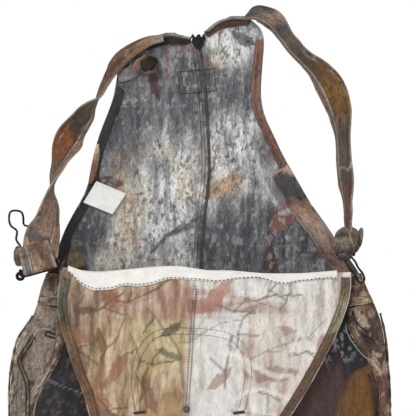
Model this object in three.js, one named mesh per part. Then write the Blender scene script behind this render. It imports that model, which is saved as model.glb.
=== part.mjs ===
// Upper body of a pair of high-backed field overalls, worn like a vest: a high two-piece back, a bib
// folded down over the front, two shoulder straps with wire bib hooks, and open sides at the hips.
// Millimetres. +Z is up, the garment's front faces -Y and its own right-hand side is at -X.
// The origin is the hanging point: the notch in the middle of the back's top edge.

import * as THREE from "three";

// ---------------------------------------------------------------------------------------------
// Driving dimensions
// ---------------------------------------------------------------------------------------------

const waistWidth = 380; // across the fold at the waist, seam to seam
const backRise = 304; // from the waist fold up to the notch between the shoulders
const bodyDepth = 28; // from the plane of the side seams out to the middle of the back or front
const sideGap = 3; // from the plane of the side seams to each panel at its edge

const clothThickness = 2;
const hemThickness = 1.6;
const fitGap = 0.4; // between pieces sewn to each other
const plyGap = 0.5; // between plies that lie on each other

const armholeHemWidth = 12;
const armholeFoldWidth = 26;
const topHemWidth = 9;
const seamWidth = 5;
const bottomHemWidth = 22;
const sideSeamWidth = 4.4;
const placketWidth = 11;

const patchWidth = 53;
const patchHeight = 34;
const patchThickness = 1.6;
const labelThickness = 0.7;
const labelLift = 1.6; // from the back's inner face to the middle of the label

const bibStandoff = 15; // from the front panels to the bib that hangs before them, at the middle
const bibCurve = 12; // how far the bib's edges lie behind its middle
const bibHemWidth = 13;
const bibTopHemWidth = 24;
const tapeHeight = 15;
const tapeRise = 6; // how far the white tape stands above the fold
const pocketThickness = 2.2;
const snapRadius = 4.6;
const snapBore = 1.9;
const snapHeight = 1.8;
const barTackWidth = 8;
const barTackHeight = 4;

const buttonRadius = 8.5;
const buttonHeight = 3.4;
const tackRadius = 3;
const tackHeight = 2.2;
const buttonInset = 15; // from the bib's corner to the button's axis, across and along

const strapWidth = 38;
const strapEndWidth = 46;
const strapThickness = 3.6;
const strapEndDepth = -38; // the plane of the left strap's end
const knotWidth = 34;
const knotDepth = 22;
const knotHeight = 26;

const wireRadius = 1.4;
const rodRadius = 2.4;
const rodEyeRadius = 5;
const rodLength = 54;
const rodTilt = THREE.MathUtils.degToRad(15);
const shortRodLength = 24;
const loopWidth = 40;
const footGap = 4; // from the left strap's foot to the eyes of the rod below it
const loopHeight = 33;
const loopThickness = 1.8;
const hookKeyRadius = 9.2;

// The pattern is drafted in the sizes below and graded from them to the waist and rise above.
const draftWaistWidth = 380;
const draftBackRise = 304;

const widthGrade = waistWidth / draftWaistWidth;
const riseGrade = backRise / draftBackRise;
const foldHeight = -backRise;

// ---------------------------------------------------------------------------------------------
// Materials
// ---------------------------------------------------------------------------------------------

const surface = (color, roughness, metalness = 0) =>
  new THREE.MeshStandardMaterial({ color, roughness, metalness });

const insideCloth = () => surface(0x9a9a98, 0.9);
const outsideCloth = () => surface(0x6f5a48, 0.85);
const darkCloth = () => surface(0x3f3a3c, 0.88);
const bibCloth = () => surface(0xc3b39a, 0.9);
const strapCloth = () => surface(0x7a624e, 0.85);
const whiteTape = () => surface(0xe9ebec, 0.8);
const stitching = () => surface(0x2b2a2a, 0.7);
const patchLeather = () => surface(0x6b4a30, 0.6);
const blackWire = () => surface(0x1e1b1a, 0.45, 0.8);
const tackMetal = () => surface(0x4d4338, 0.4, 0.9);

// ---------------------------------------------------------------------------------------------
// Drafting: curves and patches in the plane of X and Z
// ---------------------------------------------------------------------------------------------

const graded = ([x, z]) => new THREE.Vector2(x * widthGrade, z * riseGrade);

/** A smooth curve through drafted points, read by its share of the length. */
function drafted(points) {
  const curve = new THREE.SplineCurve(points.map(graded));
  return (share) => curve.getPointAt(THREE.MathUtils.clamp(share, 0, 1));
}

/** The stretch of a curve between two shares of its length. */
const stretch = (curve, from, to) => (share) => curve(from + (to - from) * share);

const lineBetween = (start, end) => (share) => start.clone().lerp(end, share);

/** A patch filled between four curves that share their corners (a Coons patch). */
function filled(bottom, top, left, right) {
  return (u, v) => {
    const across = left(v).lerp(right(v), u);
    const along = bottom(u).lerp(top(u), v);
    const low = bottom(0).lerp(bottom(1), u);
    const corners = low.lerp(top(0).lerp(top(1), u), v);
    return across.add(along).sub(corners);
  };
}

/** A band that follows a curve, from one distance beside it to another (left of it is positive). */
function band(curve, near, far) {
  const step = 0.004;
  return (u, v) => {
    const ahead = curve(Math.min(v + step, 1)).sub(curve(Math.max(v - step, 0)));
    const beside = new THREE.Vector2(-ahead.y, ahead.x).normalize();
    return curve(v).addScaledVector(beside, near + (far - near) * u);
  };
}

// ---------------------------------------------------------------------------------------------
// Depth of each layer
// ---------------------------------------------------------------------------------------------

const waistSideHalf = 206; // half width of the body at the waist, in the draft
const hipHalf = 252; // half width of the body at the hips, in the draft
const hipDrop = 110; // from the waist down to the widest part, in the draft

function bodyHalfWidth(z) {
  const share = THREE.MathUtils.smoothstep(foldHeight - z, 0, hipDrop * riseGrade);
  return (waistSideHalf + (hipHalf - waistSideHalf) * share) * widthGrade;
}

function bodyBulge(x, z) {
  const share = Math.min(Math.abs(x) / bodyHalfWidth(z), 1);
  return sideGap + bodyDepth * (1 - share * share);
}

const backDepth = (x, z) => bodyBulge(x, z);
const frontDepth = (x, z) => -bodyBulge(x, z);

const bibPlane = -(sideGap + bodyDepth + bibStandoff);
const bibDepth = (x) => bibPlane + bibCurve * (x / (waistWidth / 2)) ** 2;

const shifted = (depth, offset) => (x, z) => depth(x, z) + offset;
const pliedOffset = (clothThickness + hemThickness) / 2 + plyGap;

// ---------------------------------------------------------------------------------------------
// Solids
// ---------------------------------------------------------------------------------------------

const overalls = new THREE.Group();

function add(name, geometry, material) {
  const mesh = new THREE.Mesh(geometry, material);
  mesh.name = name;
  overalls.add(mesh);
  return mesh;
}

/** Turns the triangles round when a sheet was laid out clockwise, so that its faces point out. */
function facingOut(geometry) {
  const position = geometry.getAttribute("position");
  const index = geometry.getIndex();
  const corner = [new THREE.Vector3(), new THREE.Vector3(), new THREE.Vector3()];
  let volume = 0;
  for (let i = 0; i < index.count; i += 3) {
    corner.forEach((point, n) => point.fromBufferAttribute(position, index.getX(i + n)));
    volume += corner[0].dot(corner[1].clone().cross(corner[2]));
  }
  if (volume < 0) {
    for (let i = 0; i < index.count; i += 3) {
      const second = index.getX(i + 1);
      index.setX(i + 1, index.getX(i + 2));
      index.setX(i + 2, second);
    }
  }
  geometry.computeVertexNormals();
  return geometry;
}

/** A closed sheet of the given thickness about a middle surface, place(u, v). */
function sheet(place, columns, rows, thickness) {
  const geometry = new THREE.BoxGeometry(1, 1, 1, columns, rows, 1);
  const position = geometry.getAttribute("position");
  const step = 0.002;
  for (let i = 0; i < position.count; i += 1) {
    const u = position.getX(i) + 0.5;
    const v = position.getY(i) + 0.5;
    const alongU = place(Math.min(u + step, 1), v).sub(place(Math.max(u - step, 0), v));
    const alongV = place(u, Math.min(v + step, 1)).sub(place(u, Math.max(v - step, 0)));
    const normal = alongU.cross(alongV).normalize();
    const point = place(u, v).addScaledVector(normal, position.getZ(i) * thickness);
    position.setXYZ(i, point.x, point.y, point.z);
  }
  return facingOut(geometry);
}

/** Lays a flat patch on a depth, pulled in from its edges by half a fit gap. */
function laid(patch, depth, inset = fitGap / 2) {
  const width = patch(0, 0.5).distanceTo(patch(1, 0.5));
  const height = patch(0.5, 0).distanceTo(patch(0.5, 1));
  const sideShare = inset / width;
  const endShare = inset / height;
  return (u, v) => {
    const point = patch(
      sideShare + u * (1 - 2 * sideShare),
      endShare + v * (1 - 2 * endShare),
    );
    return new THREE.Vector3(point.x, depth(point.x, point.y), point.y);
  };
}

const cloth = (name, patch, depth, columns, rows, material, thickness = clothThickness) =>
  add(name, sheet(laid(patch, depth), columns, rows, thickness), material);

const bandRows = 16;

/** A hem band on one edge: one ply that lies on the panel, or in line with it. */
const hem = (name, curve, near, far, depth, material, rows = bandRows) =>
  cloth(name, band(curve, near, far), depth, 1, rows, material, hemThickness);

/** A round wire along a curve. */
function wire(points, radius, steps) {
  const sides = 8;
  const section = new THREE.Shape(
    Array.from({ length: sides }, (_, n) => {
      const angle = (2 * Math.PI * n) / sides;
      return new THREE.Vector2(radius * Math.cos(angle), radius * Math.sin(angle));
    }),
  );
  const extrudePath = new THREE.CatmullRomCurve3(points, false, "centripetal");
  return new THREE.ExtrudeGeometry(section, { steps, extrudePath });
}

// ---------------------------------------------------------------------------------------------
// Back: two panels, the seam between them, hems, patch and care label
// ---------------------------------------------------------------------------------------------

const bottomHeight = -603; // the bottom edge in the draft

const centreBack = drafted([
  [-6, bottomHeight], [-4, -450], [-3, -304], [3, -226], [8, -187], [8, -148], [5, -96],
  [2, -50], [-6, 0],
]);

const leftHip = [[-246, bottomHeight], [-250, -469], [-246, -424], [-238, -391], [-220, -366]];
const leftArmhole = [
  [-212, -334], [-200, -302], [-186, -270], [-180, -250], [-164, -222], [-150, -195], [-146, -165],
  [-134, -122], [-118, -82], [-112, -44],
];
const rightHip = [[242, bottomHeight], [241, -469], [238, -424], [235, -391], [228, -360]];
const rightArmhole = [
  [216, -334], [203, -306], [180, -276], [160, -243], [144, -224], [126, -191], [107, -159],
  [90, -122], [76, -88], [78, -36], [81, 4], [72, 25],
];

const leftOutline = drafted([...leftHip, ...leftArmhole]);
const rightOutline = drafted([...rightHip, ...rightArmhole]);

const leftTop = drafted([[-112, -44], [-108, -24], [-91, -8], [-60, 5], [-40, 7], [-6, 0]]);
const rightTop = drafted([[-6, 0], [6, 14], [22, 25], [48, 29], [72, 25]]);

const leftBottom = lineBetween(leftOutline(0), centreBack(0));
const rightBottom = lineBetween(centreBack(0), rightOutline(0));

const panelColumns = 7;
const panelRows = 26;

cloth(
  "back_panel_left",
  filled(leftBottom, leftTop, leftOutline, centreBack),
  backDepth, panelColumns, panelRows, insideCloth(),
);
cloth(
  "back_panel_right",
  filled(rightBottom, rightTop, centreBack, rightOutline),
  backDepth, panelColumns, panelRows, insideCloth(),
);

const insideBack = shifted(backDepth, -pliedOffset);
const outsideBack = shifted(backDepth, pliedOffset);

hem(
  "centre_back_seam", stretch(centreBack, 0.02, 0.965),
  -seamWidth / 2, seamWidth / 2, insideBack, stitching(), panelRows,
);

// The armhole's edge is hemmed above the shoulder blade and folded outwards below it.
const hemAt = { leftFold: 0.5, leftMiddle: 0.68, rightFold: 0.46, rightMiddle: 0.7 };
const hemEnd = { left: 0.965, right: 0.955 };

hem(
  "armhole_fold_left", stretch(leftOutline, hemAt.leftFold, hemAt.leftMiddle),
  -armholeHemWidth, -1, insideBack, outsideCloth(),
);
hem(
  "armhole_hem_left", stretch(leftOutline, hemAt.leftMiddle, hemEnd.left),
  -armholeHemWidth, -1, insideBack, stitching(),
);
hem(
  "armhole_fold_right", stretch(rightOutline, hemAt.rightFold, hemAt.rightMiddle),
  1, armholeFoldWidth, insideBack, outsideCloth(),
);
hem(
  "armhole_hem_right", stretch(rightOutline, hemAt.rightMiddle, hemEnd.right),
  1, armholeHemWidth, insideBack, outsideCloth(),
);
hem(
  "top_hem_left", stretch(leftTop, 0.2, 0.93),
  -topHemWidth, -1, outsideBack, outsideCloth(),
);
hem(
  "top_hem_right", stretch(rightTop, 0.12, 0.9),
  -topHemWidth, -1, insideBack, outsideCloth(),
);

/** The bar tack that gathers the two halves into the notch. */
function addGatherTack() {
  const width = 11;
  const height = 13;
  const notch = centreBack(1);
  const tack = new THREE.SphereGeometry(1, 12, 8).scale(width / 2, 3, height / 2);
  const depth = backDepth(notch.x, notch.y) - clothThickness - 3 - plyGap;
  tack.translate(notch.x, depth, notch.y - height / 3);
  add("neck_gather_tack", tack, stitching());
}
addGatherTack();

const patchCentre = graded([-8, -57]);
const patchTilt = THREE.MathUtils.degToRad(5);

/** The blank patch on the outer face, flat because its leather is stiff. */
function addPatch() {
  const patch = add(
    "back_patch",
    new THREE.BoxGeometry(patchWidth, patchThickness, patchHeight),
    patchLeather(),
  );
  const panelFace = sideGap + bodyDepth + clothThickness / 2;
  patch.position.set(patchCentre.x, panelFace + patchThickness / 2 + plyGap, patchCentre.y);
  patch.rotation.y = -patchTilt;
}
addPatch();

const labelSewn = [graded([-156, -216]), graded([-139, -188])]; // its sewn edge, low end first
const labelFree = [graded([-120, -231]), graded([-101, -205])];

cloth(
  "care_label",
  filled(
    lineBetween(labelSewn[0], labelFree[0]), lineBetween(labelSewn[1], labelFree[1]),
    lineBetween(...labelSewn), lineBetween(...labelFree),
  ),
  shifted(backDepth, -(clothThickness / 2 + hemThickness + 2 * plyGap + labelLift)),
  4, 2, whiteTape(), labelThickness,
);

const backHemLine = lineBetween(leftOutline(0), rightOutline(0));
hem("back_bottom_hem", backHemLine, 0, bottomHemWidth, outsideBack, outsideCloth());

// ---------------------------------------------------------------------------------------------
// Front below the waist: middle panels, side panels with their waistbands, plackets and buttons
// ---------------------------------------------------------------------------------------------

const centreFront = drafted([[-6, bottomHeight], [-5, -450], [-4, -308]]);
const leftPlacket = drafted([
  [-214, bottomHeight], [-220, -494], [-208, -458], [-186, -418], [-178, -380], [-180, -340],
  [-182, -308],
]);
const rightPlacket = drafted([
  [226, bottomHeight], [228, -500], [224, -442], [209, -415], [192, -388], [185, -360], [188, -308],
]);
const leftSide = drafted([...leftHip, [-212, -334], [-203, -308]]);
const rightSide = drafted([...rightHip, [216, -334], [205, -308]]);

const frontColumns = 6;
const frontRows = 14;

/** A panel between two upright curves, closed straight across at its bottom and top. */
const between = (left, right) =>
  filled(lineBetween(left(0), right(0)), lineBetween(left(1), right(1)), left, right);

cloth(
  "front_panel_left", between(leftPlacket, centreFront),
  frontDepth, frontColumns, frontRows, darkCloth(),
);
cloth(
  "front_panel_right", between(centreFront, rightPlacket),
  frontDepth, frontColumns, frontRows, darkCloth(),
);
hem(
  "centre_front_seam", stretch(centreFront, 0.1, 0.98),
  -seamWidth / 2, seamWidth / 2, shifted(frontDepth, -pliedOffset), stitching(),
);

// The side panels take the lower rows of the front and their waistbands the rest.
const waistbandRows = 2;
const sideRows = frontRows - waistbandRows;
const sideShare = sideRows / frontRows;
const sidePart = (left, right) =>
  between(stretch(left, 0, sideShare), stretch(right, 0, sideShare));
const waistbandPart = (left, right) =>
  between(stretch(left, sideShare, 1), stretch(right, sideShare, 1));

cloth(
  "side_panel_left", sidePart(leftSide, leftPlacket), frontDepth, 3, sideRows, outsideCloth(),
);
cloth(
  "side_panel_right", sidePart(rightPlacket, rightSide), frontDepth, 3, sideRows, outsideCloth(),
);
cloth(
  "side_waistband_left", waistbandPart(leftSide, leftPlacket),
  frontDepth, 2, waistbandRows, outsideCloth(),
);
cloth(
  "side_waistband_right", waistbandPart(rightPlacket, rightSide),
  frontDepth, 2, waistbandRows, outsideCloth(),
);

const outsideFront = shifted(frontDepth, -pliedOffset);
hem(
  "side_placket_left", stretch(leftPlacket, 0.22, 0.84),
  1, placketWidth, outsideFront, outsideCloth(),
);
hem(
  "side_placket_right", stretch(rightPlacket, 0.22, 0.84),
  -placketWidth, -1, outsideFront, outsideCloth(),
);

const frontHemLine = lineBetween(leftSide(0), rightSide(0));
hem("front_bottom_hem", frontHemLine, 0, bottomHemWidth, outsideFront, outsideCloth());

/** The side seam joins the back's edge to the side panel's, from the bottom to the waist. */
function addSideSeam(name, outline, outward) {
  const standoff = hemThickness / 2 + fitGap + clothThickness / 2;
  const place = (u, v) => {
    const point = outline(0.01 + v * 0.8);
    return new THREE.Vector3(
      point.x + outward * standoff,
      (u - 0.5) * sideSeamWidth,
      point.y,
    );
  };
  add(name, sheet(place, 1, frontRows, hemThickness), stitching());
}
addSideSeam("side_seam_left", leftSide, -1);
addSideSeam("side_seam_right", rightSide, 1);

// ---------------------------------------------------------------------------------------------
// Buttons: a fixed tack, and a domed cap that turns on it
// ---------------------------------------------------------------------------------------------

/** A cap that faces -Y, its back plane at y = 0. */
function capGeometry() {
  const rim = buttonHeight * 0.45;
  const profile = [
    [0, 0], [buttonRadius * 0.86, 0], [buttonRadius, rim * 0.4], [buttonRadius, rim],
    [buttonRadius * 0.82, buttonHeight * 0.8], [buttonRadius * 0.5, buttonHeight * 0.72],
    [buttonRadius * 0.3, buttonHeight], [0, buttonHeight],
  ];
  const points = profile.map(([r, h]) => new THREE.Vector2(r, h));
  return new THREE.LatheGeometry(points, 20).rotateX(Math.PI);
}

/** A button on a cloth face; toward is -1 for a face that looks along -Y and 1 for +Y. */
function addButton(name, x, faceDepth, z, toward) {
  const tack = new THREE.CylinderGeometry(tackRadius, tackRadius, tackHeight, 12);
  const tackMiddle = faceDepth + toward * (fitGap + tackHeight / 2);
  tack.translate(x, tackMiddle, z);
  add(name + "_tack", tack, tackMetal());
  const cap = add(name, capGeometry(), tackMetal());
  cap.position.set(x, faceDepth + toward * (2 * fitGap + tackHeight), z);
  cap.rotation.z = toward < 0 ? 0 : Math.PI;
}

/** The face of a layer where it comes furthest forward within reach of x. */
const foremost = (depth, x, z, reach) => Math.min(depth(x - reach, z), depth(x + reach, z));

const sideButtonAt = { left: graded([-203, -352]), right: graded([205, -352]) };
for (const [side, at] of Object.entries(sideButtonAt)) {
  const face = foremost(backDepth, at.x, at.y, tackRadius) - clothThickness / 2;
  addButton("side_button_" + side, at.x, face, at.y, -1);
}

// ---------------------------------------------------------------------------------------------
// Bib, folded down over the front so that its inside shows
// ---------------------------------------------------------------------------------------------

const bibLeft = drafted([
  [-130, -547], [-145, -493], [-153, -462], [-164, -436], [-173, -407], [-182, -378],
  [-187, -350], [-185, -326], [-179, -304],
]);
const bibRight = drafted([
  [77, -547], [110, -494], [127, -468], [144, -439], [161, -407], [179, -368], [189, -334],
  [190, -304],
]);
const bibCentre = drafted([[-25, -547], [-20, -480], [-15, -400], [-9, -304]]);

const bibBand = { low: 0.1, high: 1 };
const bibColumns = 6;
const bibRows = 14;

/** The part of the bib between two curves above its top hem, which hangs lowest. */
const bibPart = (left, right) =>
  between(stretch(left, bibBand.low, bibBand.high), stretch(right, bibBand.low, bibBand.high));

cloth("bib_panel_left", bibPart(bibLeft, bibCentre), bibDepth, bibColumns, bibRows, bibCloth());
cloth("bib_panel_right", bibPart(bibCentre, bibRight), bibDepth, bibColumns, bibRows, bibCloth());
cloth(
  "bib_top_hem",
  between(
    lineBetween(bibLeft(bibBand.low), bibLeft(0)),
    lineBetween(bibRight(bibBand.low), bibRight(0)),
  ),
  bibDepth, 10, 1, outsideCloth(), clothThickness + hemThickness,
);

const bibInside = shifted(bibDepth, -pliedOffset);
const bibOutside = shifted(bibDepth, pliedOffset);
hem(
  "bib_centre_seam", stretch(bibCentre, 0.13, 0.93),
  -seamWidth / 2, seamWidth / 2, bibInside, stitching(),
);
hem(
  "bib_edge_hem_left", stretch(bibLeft, 0.13, 0.97),
  -bibHemWidth, -1, bibInside, outsideCloth(),
);
hem(
  "bib_edge_hem_right", stretch(bibRight, 0.13, 0.97),
  1, bibHemWidth, bibInside, outsideCloth(),
);

const tapeLine = drafted([
  [-170, -304], [-120, -306], [-60, -304], [0, -306], [60, -306], [120, -307], [178, -305],
]);
hem(
  "waist_facing_tape", tapeLine,
  tapeRise - tapeHeight, tapeRise, shifted(bibInside, -hemThickness - plyGap), whiteTape(),
);

const pocketLeft = drafted([[-84, -500], [-95, -451], [-93, -416], [-70, -373]]);
const pocketRight = drafted([[50, -500], [64, -450], [66, -410], [46, -377]]);
cloth(
  "bib_pocket", between(pocketLeft, pocketRight),
  shifted(bibDepth, (clothThickness + pocketThickness) / 2 + plyGap),
  8, 8, outsideCloth(), pocketThickness,
);

/** The snap's ring on the bib's inner face. */
function addSnap() {
  const at = graded([-21, -480]);
  const profile = [
    [snapBore, 0], [snapRadius, 0], [snapRadius, snapHeight * 0.6],
    [snapRadius * 0.7, snapHeight], [snapBore, snapHeight * 0.8], [snapBore, 0],
  ];
  const points = profile.map(([r, h]) => new THREE.Vector2(r, h));
  const ring = new THREE.LatheGeometry(points, 20).rotateX(Math.PI);
  const snap = add("pocket_snap", ring, tackMetal());
  const face = bibDepth(at.x) - clothThickness / 2 - hemThickness - 2 * plyGap;
  snap.position.set(at.x, face, at.y);
}
addSnap();

const barTackAt = { left: graded([-81, -485]), right: graded([46, -485]) };
for (const [side, at] of Object.entries(barTackAt)) {
  const tack = add(
    "pocket_bar_tack_" + side,
    new THREE.BoxGeometry(barTackWidth, 1, barTackHeight),
    stitching(),
  );
  tack.position.set(at.x, bibDepth(at.x) - clothThickness / 2 - 0.5 - plyGap, at.y);
}

const bibCorner = { left: bibLeft(0), right: bibRight(0) };
for (const [side, at] of Object.entries(bibCorner)) {
  const inward = side === "left" ? 1 : -1;
  const x = at.x + inward * buttonInset;
  const face = bibDepth(x) + (clothThickness + hemThickness) / 2 + plyGap;
  addButton("bib_button_" + side, x, face, at.y + buttonInset, 1);
}

// ---------------------------------------------------------------------------------------------
// Straps: flat webbing with its twists
// ---------------------------------------------------------------------------------------------

/** A ribbon through stations of x, depth, z, twist in degrees and width. */
function ribbon(stations, thickness, columns, rows) {
  const points = stations.map(([x, y, z]) => {
    const at = graded([x, z]);
    return new THREE.Vector3(at.x, y, at.y);
  });
  const curve = new THREE.CatmullRomCurve3(points, false, "centripetal");
  const turns = new THREE.SplineCurve(
    stations.map(([, , , twist, width]) => new THREE.Vector2(twist, width)),
  );
  const place = (u, v) => {
    const tangent = curve.getTangent(v);
    const flat = new THREE.Vector3(-tangent.z, 0, tangent.x).normalize();
    const turn = turns.getPoint(v);
    flat.applyAxisAngle(tangent, THREE.MathUtils.degToRad(turn.x));
    return curve.getPoint(v).addScaledVector(flat, (u - 0.5) * turn.y);
  };
  return sheet(place, columns, rows, thickness);
}

const strapColumns = 3;
const leftFoot = [-209, strapEndDepth, -285]; // where the left strap's cloth ends

add(
  "strap_left_upper",
  ribbon(
    [
      [-124, 21, -47, 15, 26], [-131, 19, -62, 50, strapWidth * 0.8],
      [-138, 16, -80, 78, strapWidth], [-150, 10, -98, 122, strapWidth],
      [-170, 2, -126, 150, strapWidth], [-182, -10, -158, 226, strapWidth],
      [-193, -20, -189, 258, strapWidth],
    ],
    strapThickness, strapColumns, 30,
  ),
  strapCloth(),
);
add(
  "strap_left_lower",
  ribbon(
    [
      [-193.2, -20.4, -191, 260, strapWidth], [-195, -28, -214, 296, strapWidth],
      [-199, -36, -240, 325, strapWidth], [-206, strapEndDepth, -262, 360, strapEndWidth],
      [...leftFoot, 360, strapEndWidth],
    ],
    strapThickness, strapColumns, 20,
  ),
  strapCloth(),
);
add(
  "strap_right_upper",
  ribbon(
    [
      [70, 17, 30, 0, 22], [82, 18, 27, 8, 25], [95, 18, 20, 40, 31],
      [107, 17, 3, 56, strapWidth * 0.9], [119, 15, -14, 62, strapWidth],
      [138, 10, -32, 60, strapWidth], [154, 4, -49, 40, strapWidth],
      [167, -2, -69, 12, strapWidth],
      [177, -8, -98, 40, strapWidth], [180, -13, -128, 62, strapWidth],
    ],
    strapThickness, strapColumns, 30,
  ),
  strapCloth(),
);
add(
  "strap_right_lower",
  ribbon(
    [
      [180.3, -13.5, -131, 62, strapWidth], [182, -16, -160, 64, strapWidth],
      [185, -19, -190, 62, strapWidth], [187, -22, -222, 72, strapWidth * 0.8],
      [187, -24, -247, 84, strapWidth * 0.5],
    ],
    strapThickness, strapColumns, 20,
  ),
  strapCloth(),
);

/** The rolled keeper on the left strap, and the grey underside of the strap behind it. */
function addKeeper() {
  const at = graded([-72, -33]);
  const keeper = new THREE.CapsuleGeometry(7, 13, 5, 12).scale(1, 1, 0.6);
  const mesh = add("strap_keeper_left", keeper, strapCloth());
  mesh.rotation.set(0, THREE.MathUtils.degToRad(-20), 0);
  mesh.rotateX(Math.PI / 2);
  mesh.rotateZ(THREE.MathUtils.degToRad(65));
  mesh.position.set(at.x, backDepth(at.x, at.y) - 12, at.y);
}
addKeeper();

const turnbackLine = drafted([[-100, -62], [-90, -56], [-78, -42]]);
hem(
  "strap_turnback_left", turnbackLine, -9, 8,
  shifted(backDepth, -pliedOffset - hemThickness - plyGap), insideCloth(),
);

/** The knot of webbing that the right strap ends in. */
const knotCentre = graded([185, -264]);
const knotPlane = -24;
function addKnot() {
  const knot = new THREE.SphereGeometry(1, 18, 12);
  knot.scale(knotWidth / 2, knotDepth / 2, knotHeight / 2);
  knot.translate(knotCentre.x, knotPlane, knotCentre.y);
  add("strap_right_knot", knot, strapCloth());
}
addKnot();

// ---------------------------------------------------------------------------------------------
// Strap hardware: a rod in a folded loop, and a bent-wire hook that turns on the rod
// ---------------------------------------------------------------------------------------------

/** A folded strip: two legs that hang over a rod, joined round it. The rod lies along X. */
function loopGeometry(width, height, inner) {
  const outer = inner + loopThickness;
  const outline = new THREE.Shape();
  outline.moveTo(outer, height);
  outline.lineTo(outer, 0);
  outline.absarc(0, 0, outer, 0, Math.PI, true);
  outline.lineTo(-outer, height);
  outline.lineTo(-inner, height);
  outline.lineTo(-inner, 0);
  outline.absarc(0, 0, inner, Math.PI, 0, false);
  outline.lineTo(inner, height);
  const made = new THREE.ExtrudeGeometry(outline, {
    depth: width, bevelEnabled: false, curveSegments: 8,
  });
  return made.translate(0, 0, -width / 2).rotateX(Math.PI / 2).rotateZ(Math.PI / 2);
}

/** A rod along X with a round eye at each end. */
function rodGeometry(length, eye) {
  const half = length / 2;
  const profile = [
    [0, -half], [eye * 0.8, -half], [eye, -half + eye * 0.4], [eye * 0.8, -half + eye * 0.8],
    [rodRadius, -half + eye], [rodRadius, half - eye], [eye * 0.8, half - eye * 0.8],
    [eye, half - eye * 0.4], [eye * 0.8, half], [0, half],
  ];
  const points = profile.map(([r, h]) => new THREE.Vector2(r, h));
  return new THREE.LatheGeometry(points, 14).rotateZ(-Math.PI / 2);
}

const loopInner = rodRadius + fitGap;
const leftStrapFoot = graded([leftFoot[0], leftFoot[2]]);
const leftRod = new THREE.Vector3(
  leftStrapFoot.x,
  strapEndDepth,
  leftStrapFoot.y - footGap - rodEyeRadius - (strapEndWidth / 2) * Math.tan(rodTilt),
);

const leftLoop = add(
  "strap_loop_left", loopGeometry(loopWidth, loopHeight, loopInner), strapCloth(),
);
leftLoop.position.copy(leftRod);
leftLoop.rotation.y = -rodTilt;

const leftRodMesh = add("adjuster_rod_left", rodGeometry(rodLength, rodEyeRadius), blackWire());
leftRodMesh.position.copy(leftRod);
leftRodMesh.rotation.y = -rodTilt;

/** The left hook stands up behind the strap's edge: foot, shoulder, round key, shoulder, foot. */
function addLeftHook() {
  const behind = loopInner + loopThickness + wireRadius + 4 * fitGap;
  const keyX = -31;
  const keyZ = 64;
  const route = [
    [-30, 3, 6], [-33, 15, behind], [-25, 25, behind], [-31, 36, behind], [-30, 47, behind],
    [-38, 54, behind], [keyX - hookKeyRadius, keyZ, behind], [-38, 72, behind],
    [keyX, keyZ + hookKeyRadius, behind], [-24, 71, behind],
    [keyX + hookKeyRadius, keyZ, behind], [-21, 55, behind], [-12, 52, behind],
    [-5, 41, behind], [-2, 25, behind], [-1, rodRadius + 9, behind],
  ];
  const points = route.map(([x, z, y]) => new THREE.Vector3(x, y, z));
  const hook = add("bib_hook_left", wire(points, wireRadius, 60), blackWire());
  hook.position.copy(leftRod);
}
addLeftHook();

const rightRod = new THREE.Vector3(
  knotCentre.x - 1,
  knotPlane,
  knotCentre.y - knotHeight / 2 - rodEyeRadius - fitGap,
);
const rightRodMesh = add(
  "adjuster_rod_right", rodGeometry(shortRodLength, rodRadius * 1.5), blackWire(),
);
rightRodMesh.position.copy(rightRod);

/** The right hook hangs from its rod, its key at the bottom. */
function addRightHook() {
  const below = rodRadius * 1.5 + wireRadius + fitGap;
  const route = [
    [-2, -below, 0], [1, -12, 0], [6, -20, 0], [13, -28, 0], [16, -35, 0], [20, -38, 0],
    [24, -34, 0], [22, -26, 0], [16, -18, 0], [12, -10, 0], [8, -below, 0],
  ];
  const points = route.map(([x, z, y]) => new THREE.Vector3(x, y, z));
  const hook = add("bib_hook_right", wire(points, wireRadius, 44), blackWire());
  hook.position.copy(rightRod);
}
addRightHook();

export default overalls;
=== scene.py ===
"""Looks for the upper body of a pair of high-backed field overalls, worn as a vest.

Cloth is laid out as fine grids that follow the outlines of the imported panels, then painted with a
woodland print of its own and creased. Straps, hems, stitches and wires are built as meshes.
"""

import math

import bpy
import numpy as np
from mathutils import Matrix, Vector


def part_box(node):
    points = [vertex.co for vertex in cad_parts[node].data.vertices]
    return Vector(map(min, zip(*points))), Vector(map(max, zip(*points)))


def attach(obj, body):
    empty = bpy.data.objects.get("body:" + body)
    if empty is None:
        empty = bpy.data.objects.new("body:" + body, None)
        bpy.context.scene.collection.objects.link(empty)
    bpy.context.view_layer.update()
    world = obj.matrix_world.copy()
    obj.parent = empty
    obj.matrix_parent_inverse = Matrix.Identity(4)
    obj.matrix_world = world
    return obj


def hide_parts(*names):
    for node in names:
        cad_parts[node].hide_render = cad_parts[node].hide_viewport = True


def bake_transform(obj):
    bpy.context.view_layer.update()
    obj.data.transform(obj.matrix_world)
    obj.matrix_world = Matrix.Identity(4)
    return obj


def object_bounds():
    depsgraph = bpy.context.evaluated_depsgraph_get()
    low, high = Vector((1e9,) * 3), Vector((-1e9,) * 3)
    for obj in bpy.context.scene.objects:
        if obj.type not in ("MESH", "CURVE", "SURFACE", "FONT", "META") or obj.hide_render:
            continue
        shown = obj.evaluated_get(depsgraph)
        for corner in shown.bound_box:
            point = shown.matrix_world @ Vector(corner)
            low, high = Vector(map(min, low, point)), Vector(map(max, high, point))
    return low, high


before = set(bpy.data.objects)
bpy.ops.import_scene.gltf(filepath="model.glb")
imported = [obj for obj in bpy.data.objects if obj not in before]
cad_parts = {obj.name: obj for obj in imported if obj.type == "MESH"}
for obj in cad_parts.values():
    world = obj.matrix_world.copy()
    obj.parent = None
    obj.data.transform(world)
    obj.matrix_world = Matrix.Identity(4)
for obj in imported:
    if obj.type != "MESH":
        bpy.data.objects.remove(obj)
cad_low, cad_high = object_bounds()

# ------------------------------------------------------------------------------------------------
# Sizes, in metres
# ------------------------------------------------------------------------------------------------

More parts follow.
